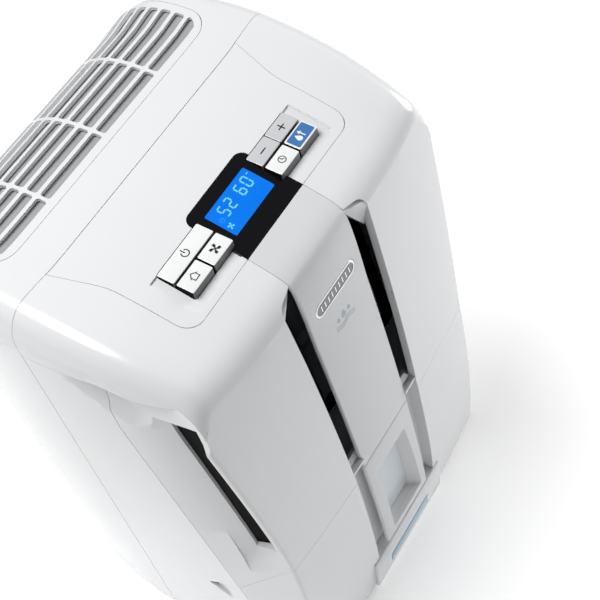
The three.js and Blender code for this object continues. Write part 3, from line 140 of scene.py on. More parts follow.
lamp("overhead", (-0.5, 0.55, 2.5), (0, 0, 0.3), 1.3, 50)
lamp("right_side", (1.45, -0.62, 0.65), (0, -0.15, 0.25), 1.0, 14)
lamp("left_side", (-1.3, 2.1, 0.7), (-0.17, 0, 0.25), 1.2, 7)
bpy.context.scene.view_settings.view_transform = "Standard"

world = bpy.data.worlds.new("studio")
world.use_nodes = True
world.node_tree.nodes["Background"].inputs["Color"].default_value = (1, 1, 1, 1)
world.node_tree.nodes["Background"].inputs["Strength"].default_value = 0.14
bpy.context.scene.world = world

# %% [markdown]
# ## Finishes
# Moulded plastic is never one flat value. Its gloss varies slightly from place to place, and it has
# a very fine texture from the mould. One function builds that, and each finish only says how much.

# %% A function for moulded and painted finishes
def socket(material, name):
    return material.node_tree.nodes["Principled BSDF"].inputs[name]


def finish(name, colour, roughness, grain=900.0, bump=0.02, vary=0.05, metallic=0.0, coat=0.0):
    material = bpy.data.materials.new(name)
    material.use_nodes = True
    nodes = material.node_tree.nodes
    links = material.node_tree.links
    shader = nodes["Principled BSDF"]
    shader.inputs["Metallic"].default_value = metallic
    shader.inputs["Coat Weight"].default_value = coat
    shader.inputs["Coat Roughness"].default_value = 0.06
    place = nodes.new("ShaderNodeTexCoord")
    cloud = nodes.new("ShaderNodeTexNoise")
    cloud.inputs["Scale"].default_value = 14.0
    cloud.inputs["Detail"].default_value = 4.0
    links.new(place.outputs["Object"], cloud.inputs["Vector"])
    gloss = nodes.new("ShaderNodeMapRange")
    gloss.inputs["To Min"].default_value = roughness - vary
    gloss.inputs["To Max"].default_value = roughness + vary
    links.new(cloud.outputs["Fac"], gloss.inputs["Value"])
    links.new(gloss.outputs["Result"], shader.inputs["Roughness"])
    tint = nodes.new("ShaderNodeMix")
    tint.data_type = "RGBA"
    tint.inputs["A"].default_value = (*[c * 0.975 for c in colour], 1)
    tint.inputs["B"].default_value = (*colour, 1)
    links.new(cloud.outputs["Fac"], tint.inputs["Factor"])
    links.new(tint.outputs["Result"], shader.inputs["Base Color"])
    fine = nodes.new("ShaderNodeTexNoise")
    fine.inputs["Scale"].default_value = grain
    fine.inputs["Detail"].default_value = 3.0
    links.new(place.outputs["Object"], fine.inputs["Vector"])
    relief = nodes.new("ShaderNodeBump")
    relief.inputs["Strength"].default_value = bump
    relief.inputs["Distance"].default_value = 0.0004
    links.new(fine.outputs["Fac"], relief.inputs["Height"])
    links.new(relief.outputs["Normal"], shader.inputs["Normal"])
    return material


# %% [markdown]
# The brushed and cast metals inside, the foam and the board need a direction or a coarser pattern,
# so they stretch or enlarge the same noise.

# %% Finishes with their own pattern
def brushed(name, colour, roughness, stretch):
    material = finish(name, colour, roughness, grain=60.0, bump=0.12, metallic=1.0)
    nodes = material.node_tree.nodes
    links = material.node_tree.links
    place = next(node for node in nodes if node.type == "TEX_COORD")
    noises = [node for node in nodes if node.type == "TEX_NOISE"]
    fine = next(node for node in noises if node.inputs["Scale"].default_value > 50)
    mapping = nodes.new("ShaderNodeMapping")
    mapping.inputs["Scale"].default_value = stretch
    links.new(place.outputs["Object"], mapping.inputs["Vector"])
    links.new(mapping.outputs["Vector"], fine.inputs["Vector"])
    return material


def glowing(name, colour, strength, patches):
    material = finish(name, [c * 0.08 for c in colour], 0.12, bump=0.0, vary=0.03)
    nodes = material.node_tree.nodes
    links = material.node_tree.links
    shader = nodes["Principled BSDF"]
    place = next(node for node in nodes if node.type == "TEX_COORD")
    uneven = nodes.new("ShaderNodeTexNoise")
    uneven.inputs["Scale"].default_value = patches
    links.new(place.outputs["Object"], uneven.inputs["Vector"])
    glow = nodes.new("ShaderNodeMix")
    glow.data_type = "RGBA"
    glow.inputs["A"].default_value = (*[c * 0.82 for c in colour], 1)
    glow.inputs["B"].default_value = (*colour, 1)
    links.new(uneven.outputs["Fac"], glow.inputs["Factor"])
    links.new(glow.outputs["Result"], shader.inputs["Emission Color"])
    shader.inputs["Emission Strength"].default_value = strength
    return material


# %% The finishes of this object
WHITE = finish("gloss_white", (0.80, 0.81, 0.82), 0.24, bump=0.012, coat=0.25)
SATIN = finish("satin_white", (0.70, 0.715, 0.73), 0.34, bump=0.02, coat=0.1)
KEY_WHITE = finish("key_white", (0.88, 0.885, 0.89), 0.2, bump=0.01, coat=0.3)
KEY_SILVER = finish("key_silver", (0.60, 0.61, 0.63), 0.28, bump=0.03, coat=0.3)
# Painted shade: the dark grey given to the front walls of the keys in place of their shadow.
KEY_WALL_PAINTED_SHADE = finish("key_wall_painted_shade", (0.16, 0.165, 0.17), 0.3, bump=0.02)
KEY_BLUE = finish("key_blue", (0.06, 0.19, 0.46), 0.25, bump=0.02, coat=0.3)
BLACK = finish("matte_black", (0.004, 0.004, 0.005), 0.8, bump=0.08)
socket(BLACK, "Specular IOR Level").default_value = 0.1
GLASS_BLACK = finish("window_black", (0.004, 0.004, 0.005), 0.09, bump=0.0, vary=0.02)
VANE_GREY = finish("vane_grey", (0.36, 0.37, 0.38), 0.4, bump=0.03)
DISPLAY = glowing("display_blue", (0.0, 0.20, 0.92), 1.0, 60.0)
DISPLAY_DIM = glowing("display_dim", (0.02, 0.33, 1.0), 1.0, 90.0)
DIGIT = glowing("digit_cyan", (0.19, 0.72, 1.0), 1.0, 90.0)
ICE_BLUE = finish("ice_blue", (0.33, 0.50, 0.66), 0.14, bump=0.01, coat=0.4)
CLEAR = finish("tank_translucent", (0.62, 0.68, 0.72), 0.22, bump=0.03, coat=0.2)
INK = finish("key_ink", (0.012, 0.013, 0.015), 0.35)
PALE_INK = finish("emblem_ink", (0.42, 0.47, 0.53), 0.3)
BADGE_GREY = finish("badge_grey", (0.23, 0.235, 0.24), 0.3, bump=0.02, metallic=0.4)
CHROME = finish("badge_chrome", (0.78, 0.79, 0.80), 0.14, bump=0.01, metallic=0.85)
STEEL = brushed("bright_steel", (0.62, 0.63, 0.65), 0.28, (1, 1, 14))
FINS = brushed("fin_aluminium", (0.66, 0.67, 0.69), 0.34, (40, 1, 1))
COPPER = brushed("drawn_copper", (0.66, 0.34, 0.2), 0.26, (1, 8, 8))
DARK_METAL = finish("black_paint", (0.035, 0.036, 0.04), 0.38, bump=0.08, metallic=0.3)
RUBBER = finish("rubber", (0.02, 0.02, 0.021), 0.72, grain=500.0, bump=0.2)
BOARD = finish("circuit_green", (0.02, 0.16, 0.07), 0.4, grain=300.0, bump=0.15)
FOAM = finish("filter_foam", (0.16, 0.17, 0.18), 0.9, grain=700.0, bump=0.6)
FLOOR = finish("studio_floor", (0.93, 0.93, 0.935), 0.55, grain=40.0, bump=0.01, vary=0.03)
socket(FLOOR, "Emission Color").default_value = (1, 1, 1, 1)
socket(FLOOR, "Emission Strength").default_value = 0.32
floor.data.materials.append(FLOOR)
SLOT_FINISH = {
    "white_plastic": WHITE,
    "satin_plastic": SATIN,
    "white_key": KEY_WHITE,
    "silver_key": KEY_SILVER,
    "blue_key": KEY_BLUE,
    "black_plastic": BLACK,
    "black_gloss": GLASS_BLACK,
    "display_blue": DISPLAY,
    "pale_blue": ICE_BLUE,
    "clear_plastic": CLEAR,
    "bright_metal": STEEL,
    "fin_aluminium": FINS,
    "copper": COPPER,
    "dark_metal": DARK_METAL,
    "rubber": RUBBER,
    "circuit_board": BOARD,
    "foam": FOAM,
}
print("finishes", len(bpy.data.materials))

# %% [markdown]
# ## The curves of the body
# The front leans back as it rises, the corners flare towards the brow, the sides and the top are
# gently crowned. Each of those is one short function of a height or a depth, in millimetres.

# %% Curves, in millimetres
SKIRT_Z = 6.0
BELLY_Z = 100.0
BELLY_INSET = 0.6
LEAN = 24.8
TUCK = 5.5
BOW_RADIUS = 1550.0
CORNER_INSET = 25.2
FLARE = 17.9
FLARE_Z = 190.0
PANEL_EDGE_SET = 38.6
PANEL_EDGE_SLOPE = 0.185
TOP_FALL = 8.74e-4
ABOVE = HEIGHT + 90
SPLIT_Y = 14.0
TANK_SEAM_Z = 211.0
BROW_Z = HEIGHT - 62
EAVE_Z = HEIGHT - 44
PANEL_KINK_Z = EAVE_Z - 61
CREST_Y = 75.0
CREST_Z = HEIGHT - 3.5
SHOULDER_X = HALF_W - 22.5
SHOULDER_DROP = 30.0
REAR_ROUND = 55.0
REAR_FALL = 90.0
PANEL_BACK_HALF = 124.0
PANEL_FRONT_HALF = 109.0
PANEL_FRONT_Y = -98.0


def front_y(z):
    """Y of the front face in the middle of the body."""
    if z > BELLY_Z:
        return FRONT_Y + BELLY_INSET + LEAN * ((z - BELLY_Z) / (BROW_Z - BELLY_Z)) ** 1.75
    return FRONT_Y + BELLY_INSET + TUCK * ((BELLY_Z - z) / BELLY_Z) ** 2


def corner_x(z):
    """X of the front corners, which spread towards the brow."""
    share = min(max((z - FLARE_Z) / (BROW_Z + 2 - FLARE_Z), 0), 1.2)
    return HALF_W - CORNER_INSET + FLARE * share**1.15


def panel_edge_y(z):
    """Y of the front edge of the side panels, which lean back."""
    return FRONT_Y + PANEL_EDGE_SET + PANEL_EDGE_SLOPE * min(z, PANEL_KINK_Z)


def side_x(y):
    """Half width of the body in plan."""
    if y <= SPLIT_Y:
        return HALF_W - 4.5 * ((SPLIT_Y - y) / 100) ** 2
    return HALF_W - 19.6 * ((y - SPLIT_Y) / 111) ** 2


def top_z(y):
    """Height of the top in the middle of the body, in front of its crest."""
    return CREST_Z - TOP_FALL * (CREST_Y - y) ** 2


def bow(x):
    """How far the crowned front falls back beside its middle."""
    return x * x / (2 * BOW_RADIUS)


EDGE_REF = panel_edge_y(TANK_SEAM_Z)
CORNER_X = corner_x(TANK_SEAM_Z)
CORNER_Y = front_y(TANK_SEAM_Z) + bow(CORNER_X)
SLOT_OUTER = 54.0
SPINE_HALF = 38.0


def lean(x, y, z):
    """Takes a point of an upright body to its place on the leaning one."""
    if y >= SPLIT_Y:
        return Vector((x, y, z))
    share = min(max((EDGE_REF - y) / (EDGE_REF - CORNER_Y), 0), 1)
    spread = min(max((abs(x) - SLOT_OUTER) / (CORNER_X - SLOT_OUTER), 0), 1)
    new_x = x + math.copysign(corner_x(z) - CORNER_X, x) * spread * share
    edge_shift = panel_edge_y(z) - EDGE_REF
    front_shift = front_y(z) - front_y(TANK_SEAM_Z)
    near_edge = edge_shift * (SPLIT_Y - y) / (SPLIT_Y - EDGE_REF)
    shift = near_edge if y > EDGE_REF else edge_shift + (front_shift - edge_shift) * share
    return Vector((new_x, y + shift + (bow(new_x) - bow(x)) * share, z))


print("corner of the body at the tank seam", round(CORNER_X, 1), round(CORNER_Y, 1))

# %% [markdown]
# ## Solids from outlines
# Most pieces start as a flat outline that is extruded in steps. Bending the stack of outlines
# afterwards gives the leaning, crowned forms. The tools below are the prism, the box and the fillet.

# %% Outlines and prisms
def fillet(before, corner, after, radius, steps):
    """The points of an arc that rounds one corner of an outline."""
    corner = Vector(corner)
    a = (Vector(before) - corner).normalized()
    b = (Vector(after) - corner).normalized()
    half = a.angle(b) / 2
    centre = corner + (a + b).normalized() * (radius / math.sin(half))
    start = corner + a * (radius / math.tan(half)) - centre
    turn = start.angle_signed(corner + b * (radius / math.tan(half)) - centre)
    return [
        centre + Matrix.Rotation(-turn * i / steps, 2) @ start for i in range(steps + 1)
    ]


def rounded(points, radii, steps=6):
    """An outline with each corner rounded by its own radius."""
    made = []
    for i, point in enumerate(points):
        radius = radii[i] if isinstance(radii, (list, tuple)) else radii
        if radius <= 0:
            made.append(Vector(point))
        else:
            made += fillet(points[i - 1], point, points[(i + 1) % len(points)], radius, steps)
    return made


def inset(points, distance):
    """A convex outline, given anticlockwise, moved inwards."""
    made = []
    for i, point in enumerate(points):
        point = Vector(point)
        before = (point - Vector(points[i - 1])).normalized()
        after = (Vector(points[(i + 1) % len(points)]) - point).normalized()
        inward = Vector((-before.y - after.y, before.x + after.x)).normalized()
        reach = distance / max(inward.dot(Vector((-before.y, before.x))), 0.2)
        made.append(point + inward * reach)
    return made


def stack(outline, steps):
    """A prism over an outline, extruded one unit up for each step."""
    bm = bmesh.new()
    top = bm.faces.new([bm.verts.new((x, y, 0)) for x, y in outline])
    for step in range(steps):
        below = top
        made = bmesh.ops.extrude_face_region(bm, geom=[below])["geom"]
        top = next(item for item in made if isinstance(item, bmesh.types.BMFace))
        bmesh.ops.translate(bm, vec=(0, 0, 1), verts=top.verts)
        if step > 0:
            bmesh.ops.delete(bm, geom=[below], context="FACES_ONLY")
    return bm


def bend(bm, place):
    """Moves every vertex of a stack to place(x, y, step)."""
    for vert in bm.verts:
        vert.co = place(vert.co.x, vert.co.y, round(vert.co.z))
    return bm


def solid(bm, name="tool"):
    """A finished mesh in metres, facing out, as an object at the origin."""
    bmesh.ops.recalc_face_normals(bm, faces=bm.faces)
    if bm.calc_volume(signed=True) < 0:
        bmesh.ops.reverse_faces(bm, faces=bm.faces)
    bmesh.ops.scale(bm, vec=(MM, MM, MM), verts=bm.verts)
    mesh = bpy.data.meshes.new(name)
    bm.to_mesh(mesh)
    bm.free()
    made = bpy.data.objects.new(name, mesh)
    bpy.context.scene.collection.objects.link(made)
    return made


def column(outline, low_z, high_z):
    """A prism over an outline in plan."""
    return solid(bend(stack(outline, 1), lambda x, y, k: Vector((x, y, high_z if k else low_z))))


def side_prism(outline, low_x, high_x):
    """A prism over an outline in the side view, given as (y, z)."""
    return solid(bend(stack(outline, 1), lambda y, z, k: Vector((high_x if k else low_x, y, z))))


def front_prism(outline, low_y, high_y):
    """A prism over an outline in the front view, given as (x, z)."""
    return solid(bend(stack(outline, 1), lambda x, z, k: Vector((x, high_y if k else low_y, z))))


def block(low_corner, high_corner):
    (x0, y0, z0), (x1, y1, z1) = low_corner, high_corner
    return column([(x0, y0), (x1, y0), (x1, y1), (x0, y1)], z0, z1)


# %% [markdown]
# Cutting and joining is left to the Boolean modifier, whose manifold solver is fast and exact on
# closed meshes. The tools are thrown away once their cut is made.

# %% Cutting and joining
def bake(piece):
    """Replaces a piece's mesh by what its modifiers make of it."""
    bpy.context.view_layer.update()
    graph = bpy.context.evaluated_depsgraph_get()
    mesh = bpy.data.meshes.new_from_object(piece.evaluated_get(graph))
    piece.modifiers.clear()
    piece.data = mesh
    return piece


def work(piece, operation, tools):
    for tool in tools:
        step = piece.modifiers.new(operation, "BOOLEAN")
        step.operation = operation
        step.solver = "MANIFOLD"
        step.object = tool
    bake(piece)
    for tool in tools:
        bpy.data.objects.remove(tool)
    return piece


def cut(piece, *tools):
    return work(piece, "DIFFERENCE", tools)


def keep(piece, *tools):
    return work(piece, "INTERSECT", tools)


def join(piece, *tools):
    return work(piece, "UNION", tools)


def copy_of(piece):
    made = piece.copy()
    made.data = piece.data.copy()
    bpy.context.scene.collection.objects.link(made)
    return made


# %% [markdown]
# ## The form
# The body is what a tall leaning prism and a long crowned arch have in common. Hollowing it with the
# same two shapes, moved inwards by the wall, gives the skin that all the housings are cut from.

# %% The leaning walls
def plan_outline():
    """Plan of the upright body, anticlockwise, with fine steps."""
    right = []
    for i in range(14):
        x = (CORNER_X - 7) * i / 13
        right.append(Vector((x, front_y(TANK_SEAM_Z) + bow(x))))
    edge = (side_x(EDGE_REF), EDGE_REF)
    right += fillet(right[-1], (CORNER_X, CORNER_Y), edge, 4.5, 5)
    for i in range(9):
        y = EDGE_REF + (SPLIT_Y - EDGE_REF) * i / 8
        right.append(Vector((side_x(y), y)))
    start = 0.34
    centre_y = BACK_Y - REAR_ROUND
    arc_y = centre_y + REAR_ROUND * math.sin(start)
    centre_x = side_x(arc_y) - REAR_ROUND * math.cos(start)
    for i in range(1, 12):
        y = SPLIT_Y + (arc_y - SPLIT_Y) * i / 12
        right.append(Vector((side_x(y), y)))
    for i in range(15):
        angle = start + (math.pi / 2 - start) * i / 14
        x = centre_x + REAR_ROUND * math.cos(angle)
        right.append(Vector((x, centre_y + REAR_ROUND * math.sin(angle))))
    return right + [Vector((-p.x, p.y)) for p in reversed(right[1:])]


def leant(outline, levels):
    """A prism of the upright body between levels, leant to its real shape."""
    return solid(bend(stack(outline, len(levels) - 1), lambda x, y, k: lean(x, y, levels[k])))


def levels_between(low_z, high_z, count):
    return [low_z + (high_z - low_z) * i / count for i in range(count + 1)]


def walls(distance, low_z=SKIRT_Z):
    return leant(inset(plan_outline(), distance), levels_between(low_z, HEIGHT + 20, 34))


print("plan outline", len(plan_outline()), "points")


# %% The crowned top
def top_profile():
    """Side view of the top: rear rounding, crown and brow, anticlockwise."""
    brow_top = -117.0
    brow_front = front_y(BROW_Z - 2) - 0.8
    slope = 2 * TOP_FALL * (CREST_Y - brow_top)
    corner_y = brow_front + 2.2
    corner_z = top_z(brow_top) - slope * (brow_top - corner_y)
    points = [(BACK_Y + 60, -40), (BACK_Y + 60, HEIGHT - 120), (BACK_Y + 0.8, HEIGHT - REAR_FALL)]
    for i in range(1, 23):
        angle = math.pi / 2 * i / 22
        points.append((
            CREST_Y + (BACK_Y + 0.8 - CREST_Y) * math.cos(angle),
            HEIGHT - REAR_FALL + (CREST_Z - HEIGHT + REAR_FALL) * math.sin(angle),
        ))
    for i in range(1, 14):
        y = CREST_Y + (brow_top - CREST_Y) * i / 14
        points.append((y, top_z(y)))
    for i in range(15):
        t = i / 14
        points.append((
            (1 - t) ** 2 * brow_top + 2 * t * (1 - t) * corner_y + t * t * brow_front,
            (1 - t) ** 2 * top_z(brow_top) + 2 * t * (1 - t) * corner_z + t * t * (BROW_Z - 2),
        ))
    return points + [(FRONT_Y - 40, BROW_Z - 80), (FRONT_Y - 60, -40)]


def shoulder(x):
    """How far the top falls away from the middle: a slight rise, then the shoulder."""
    away = min(max((abs(x) - PANEL_FRONT_HALF) / (SHOULDER_X - PANEL_FRONT_HALF), 0), 1)
    rise = 3.5 * away * away * (3 - 2 * away)
    share = (abs(x) - SHOULDER_X) / (HALF_W - SHOULDER_X)
    if share <= 0:
        return -rise
    if share <= 1:
        return -rise + SHOULDER_DROP * (1 - math.sqrt(1 - share * share))
    return SHOULDER_DROP + 90


def under_top(distance):
    """Everything under the top surface, inside the outer skin by a distance."""
    flat = [SHOULDER_X * i / 9 for i in range(10)]
    round_part = [math.sin(math.pi / 2 * i / 12) for i in range(1, 13)]
    half = flat + [SHOULDER_X + (HALF_W - SHOULDER_X) * share for share in round_part]
    half.append(HALF_W + 3.5)
    places = [-x for x in reversed(half[1:])] + half

    def place(y, z, k):
        x = places[k]
        fall = shoulder(x) if z > HEIGHT / 2 else 0
        crown = bow(x) * min(max((-60 - y) / 60, 0), 1)
        narrow = (side_x(min(max(y, -125), 140)) - distance) / HALF_W
        wide = x + math.copysign(40, x) if abs(x) > HALF_W else x * narrow
        return Vector((wide, y + crown, z - fall))

    return solid(bend(stack(inset(top_profile(), distance), len(places) - 1), place))


def form(distance, low_z=SKIRT_Z):
    return keep(walls(distance, low_z), under_top(distance))


skin = cut(form(0), form(WALL, SKIRT_Z - 5))
print("skin", len(skin.data.polygons), "faces")

# %% [markdown]
# ## Recesses under the eave and behind the front corners
# Under each shoulder the side is scooped, so that the lower edge of the top casts a line of shadow.
# Behind each front corner a narrow lip stands before an upright vent, and a trough runs back from it.
# Both are deeper than the wall, so the skin first gets a thicker stretch inside, as a mould would.

# %% Recess tools
def hull(points):
    """The convex solid around a few points."""
    bm = bmesh.new()
    for point in points:
        bm.verts.new(point)
    made = bmesh.ops.convex_hull(bm, input=bm.verts)
    loose = [v for v in made["geom_interior"] if isinstance(v, bmesh.types.BMVert)]
    bmesh.ops.delete(bm, geom=loose, context="VERTS")
    return solid(bm)


SCOOP_DEEP = 11.0


def scoop(side, behind=0.0):
    """The wedge taken out of the side under the eave; behind moves its floor inwards."""
    deep = SCOOP_DEEP + behind
    top = EAVE_Z + behind
    wall = side_x(-70)
    front = FRONT_Y + 8
    points = [
        (wall + 20, front, 398 - behind), (wall + 20, front, top),
        (wall + 20, -18 + behind, top), (wall + 20, -70, 400 - behind),
        (wall + 0.5 - behind, front, 398 - behind), (wall + 0.5 - behind, -70, 400 - behind),
        (side_x(-18) - behind, -18 + behind, top),
        (wall - deep, front, top), (wall - deep, -62, top),
        (wall - deep + 1.5, front, 430), (wall - deep + 3, -66, 430),
    ]
    return hull([(side * x, y, z) for x, y, z in points])


FACET = Vector((side_x(EDGE_REF) - CORNER_X, EDGE_REF - CORNER_Y))
FACET_LENGTH = FACET.length
FACET_ALONG = FACET.normalized()
FACET_IN = Vector((-FACET_ALONG.y, FACET_ALONG.x))


def facet_tool(side, section, low_at, high_at, steps=14, fade=0.0):
    """A solid along the side facet. section holds (distance from the corner, depth) points.

    Over the lowest fade millimetres its depth runs out to nothing.
    """
    outline = []
    for along, deep in section:
        point = Vector((CORNER_X, CORNER_Y)) + FACET_ALONG * along + FACET_IN * deep
        outline.append((side * point.x, point.y))

    def place(x, y, k):
        place_in_plan = Vector((side * x - CORNER_X, y - CORNER_Y))
        along = place_in_plan.dot(FACET_ALONG)
        deep = place_in_plan.dot(FACET_IN)
        up = (high_at(along) - low_at(along)) * k / steps
        if fade and deep > 0:
            back = FACET_IN * deep * max(1 - up / fade, 0)
            x, y = x - side * back.x, y - back.y
        return lean(x, y, low_at(along) + up)

    return solid(bend(stack(outline, steps), place))


VENT_FROM, VENT_TO, FLOOR_FROM = 3.5, 31.0, 43.0
VENT_LOW_Z, VENT_HIGH_Z, TROUGH_LOW_Z = 232.0, 446.0, 218.0


def vent_high(along):
    far = max(along - VENT_FROM, 0)
    return VENT_HIGH_Z - 0.25 * far - 0.018 * far * far


def trough_high(along):
    return VENT_HIGH_Z - 0.25 * max(along - VENT_FROM, 0)


def trough_low(along):
    return TROUGH_LOW_Z - 0.6 * min(max(along - VENT_FROM, 0), 40)


def vent(side):
    section = [(VENT_FROM, -8), (VENT_TO, -8), (VENT_TO, 30), (VENT_FROM, 30)]
    return facet_tool(side, section, lambda a: VENT_LOW_Z - 0.15 * a, vent_high)


def trough(side):
    """The two cuts that make the trough: its floor, and the slope that leads into the vent."""
    edge = FACET_LENGTH - 0.3
    floor_part = [(FLOOR_FROM - 1, -8), (edge, -8), (edge, 0.1), (FLOOR_FROM - 1, 3.4)]
    slope_part = [(VENT_FROM, -8), (FLOOR_FROM, -8), (FLOOR_FROM, 3.2), (VENT_TO, 11), (VENT_FROM, 11)]
    return (facet_tool(side, floor_part, trough_low, trough_high, steps=24, fade=70.0),
            facet_tool(side, slope_part, trough_low, trough_high, steps=24, fade=26.0))


def trough_liner(side):
    """The thicker stretch of wall inside the trough."""
    section = [(2, 1), (FACET_LENGTH, 1), (FACET_LENGTH, 3.5), (FLOOR_FROM, 6.6), (VENT_TO + 2, 14),
               (2, 14)]
    return facet_tool(side, section, lambda a: trough_low(a) - 5, lambda a: 450)


inner_limit = form(1.0)
liners = [tool for side in (-1, 1) for tool in (scoop(side, 3.0), trough_liner(side))]
for liner in liners:
    keep(liner, copy_of(inner_limit))
shell = join(copy_of(skin), *liners)
cut(shell, scoop(1), scoop(-1), *trough(1), *trough(-1), vent(1), vent(-1))
print("shell", len(shell.data.polygons), "faces")

# %% [markdown]
# ## Zones
# The housings are the parts of one shell, so their seams always meet. Each zone is a plain solid,
# held back from the seam by half the gap.

# %% Zones of the shell
def panel_column(distance):
    front = PANEL_FRONT_Y + distance
    wide = PANEL_FRONT_HALF - distance
    back = SPLIT_Y - HALF_SEAM - distance
    outline = [(-wide, front), (wide, front), (wide + 1.5, -30), (PANEL_BACK_HALF - distance, back),
               (-PANEL_BACK_HALF + distance, back), (-wide - 1.5, -30)]
    return column(rounded(outline, [14, 14, 60, 0, 0, 60]), BROW_Z, HEIGHT + 10)


def tank_zone(gap):
    top = TANK_SEAM_Z - gap
    foot = 153 - gap
    run = CORNER_Y + 3 + (top - foot)
    outline = [(FRONT_Y - 30, -10), (run + 260, -10), (run + 260, foot),
               (CORNER_Y + 3 + (top - foot) * 0.93, foot), (CORNER_Y + 3, top), (FRONT_Y - 30, top)]
    return side_prism(outline, -FAR, FAR)


def side_zone(gap, side):
    back = SPLIT_Y - HALF_SEAM - gap
    kink_y = panel_edge_y(PANEL_KINK_Z) + gap
    edge = [(panel_edge_y(-10) + gap, -10), (back, -10), (back, EAVE_Z - gap), (kink_y, EAVE_Z - gap),
            (kink_y, PANEL_KINK_Z)]
    low_x, high_x = sorted((side * (SHOULDER_X - 20), side * FAR))
    return side_prism(edge, low_x, high_x)


def strip_zone(gap):
    return block((-SPINE_HALF - gap, FRONT_Y - 60, SLOT_FLOOR_Z),
                 (SPINE_HALF + gap, PANEL_FRONT_Y + gap, ABOVE))


SEAM_FRONT_Y = front_y(TANK_SEAM_Z)
SLOT_FLOOR_Z = 225.0
SLOT_TOP_Z = BROW_Z + 14
CHANNEL_DEPTH = 13.0
SLOT_RETURN = 8.0


def slot_outline(side, grow=0.0, inner=SPINE_HALF - 1.5):
    points = [(inner, SLOT_FLOOR_Z - grow), (SLOT_OUTER + 0.4 + grow, SLOT_FLOOR_Z - grow),
              (57.2 + grow, 400), (58.8 + grow, SLOT_TOP_Z + grow), (inner, SLOT_TOP_Z + 5 + grow)]
    made = rounded(points, [0, 0.5, 90, 10 + grow, 0], 10)
    return [(side * p.x, p.y) for p in made]


def slot(side):
    return front_prism(slot_outline(side), FRONT_Y - 40, -112)


def leant_box(x0, x1, y0, y1, levels):
    return leant([(x0, y0), (x1, y0), (x1, y1), (x0, y1)], levels)


def channel(low_z, high_z):
    back = SEAM_FRONT_Y + CHANNEL_DEPTH
    return leant_box(-SLOT_OUTER, SLOT_OUTER, FRONT_Y - 60, back, levels_between(low_z, high_z, 8))


def channel_tray(low_z, high_z):
    wide = SLOT_OUTER + WALL
    back = SEAM_FRONT_Y + CHANNEL_DEPTH + WALL
    outer = leant_box(-wide, wide, SEAM_FRONT_Y + 1.5, back, levels_between(low_z, high_z, 8))
    return cut(outer, channel(low_z - 5, high_z + 5))


def slot_liner(side):
    """The return wall round a slot, and the sloping end that closes it under the brow."""
    wall = front_prism(slot_outline(side, 2.6), FRONT_Y - 40, -60)
    cut(wall, front_prism(slot_outline(side, 0, SPINE_HALF - 9), FRONT_Y - 50, -50))
    corners = [(37, -128.5, 464.5), (60, -138.5, 455), (60, -130.5, 424), (37, -112, 468),
               (62, -112, 468), (60, -112, 424)]
    ramp = hull([(side * x, y, z) for x, y, z in corners])
    keep(ramp, front_prism(slot_outline(side, 2.0), FRONT_Y - 40, -60))
    levels = levels_between(SLOT_FLOOR_Z - 5, HEIGHT, 12)
    keep(wall, leant_box(-90, 90, FRONT_Y - 60, SEAM_FRONT_Y + SLOT_RETURN, levels))
    keep(join(wall, ramp), copy_of(inner_limit))
    return cut(wall, strip_zone(HALF_SEAM))


print("zones ready")

# %% [markdown]
# ## Smooth shading with crisp edges
# A piece cut by booleans keeps its curved faces in fine strips. Smooth shading hides the strips, and
# every edge sharper than a chosen angle stays crisp.

# %% Finishing a piece
def dress(piece, name, body, material, *nodes, angle=32.0):
    piece.name = name
    piece.data.name = name
    piece.data.materials.clear()
    piece.data.materials.append(material)
    piece.data.shade_smooth()
    piece.data.set_sharp_from_angle(angle=math.radians(angle))
    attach(piece, body)
    if nodes:
        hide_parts(*nodes)
    print(name, len(piece.data.polygons), "faces")
    return piece


def soften(piece, width, segments=3, angle=40.0):
    """Rounds the sharp edges of a plain piece."""
    step = piece.modifiers.new("soften", "BEVEL")
    step.width = width * MM
    step.segments = segments
    step.limit_method = "ANGLE"
    step.angle_limit = math.radians(angle)
    return bake(piece)


# %% [markdown]
# ## Front housing
# One piece makes the shoulders, the brow and both fenders. The two slots beside the spine are cut
# with a round outer corner under the brow, and each has a return wall that hides the inside.

# %% Front housing
front = join(copy_of(shell), channel_tray(TANK_SEAM_Z + HALF_SEAM, SLOT_FLOOR_Z))
cut(front, slot(1), slot(-1))
cut(front, channel(TANK_SEAM_Z - 5, SLOT_FLOOR_Z))
join(front, slot_liner(1), slot_liner(-1))
keep(front, cut(block((-FAR, -FAR, -20), (FAR, SPLIT_Y - HALF_SEAM, ABOVE)), tank_zone(-HALF_SEAM)))
cut(front, panel_column(-HALF_SEAM), strip_zone(HALF_SEAM))
cut(front, side_zone(-HALF_SEAM, 1), side_zone(-HALF_SEAM, -1))
dress(front, "front_shell", "body", WHITE, "front_housing")

# %% [markdown]
# ## Side panels
# Each one stands behind the leaning seam and under the eave. A shallow three-cornered mark near its
# front edge shows where to hold it.

# %% Side panels
GRIP_DEEP = 1.8
for side, word in ((-1, "left"), (1, "right")):
    panel = keep(copy_of(shell), side_zone(HALF_SEAM, side))
    grip = rounded([(-86, 113), (-61, 135), (-80, 148)], 3)
    wall = side_x(-75)
    low_x, high_x = sorted((side * (wall - GRIP_DEEP), side * (wall + 20)))
    cut(panel, side_prism(grip, low_x, high_x))
    dress(panel, word + "_side_skin", "body", WHITE, word + "_side_panel")

# %% [markdown]
# ## Tank front
# The lower front pulls out with the tank. It has the channel for the foot of the spine, and a thick
# foot with a slot for the pale blue strip.

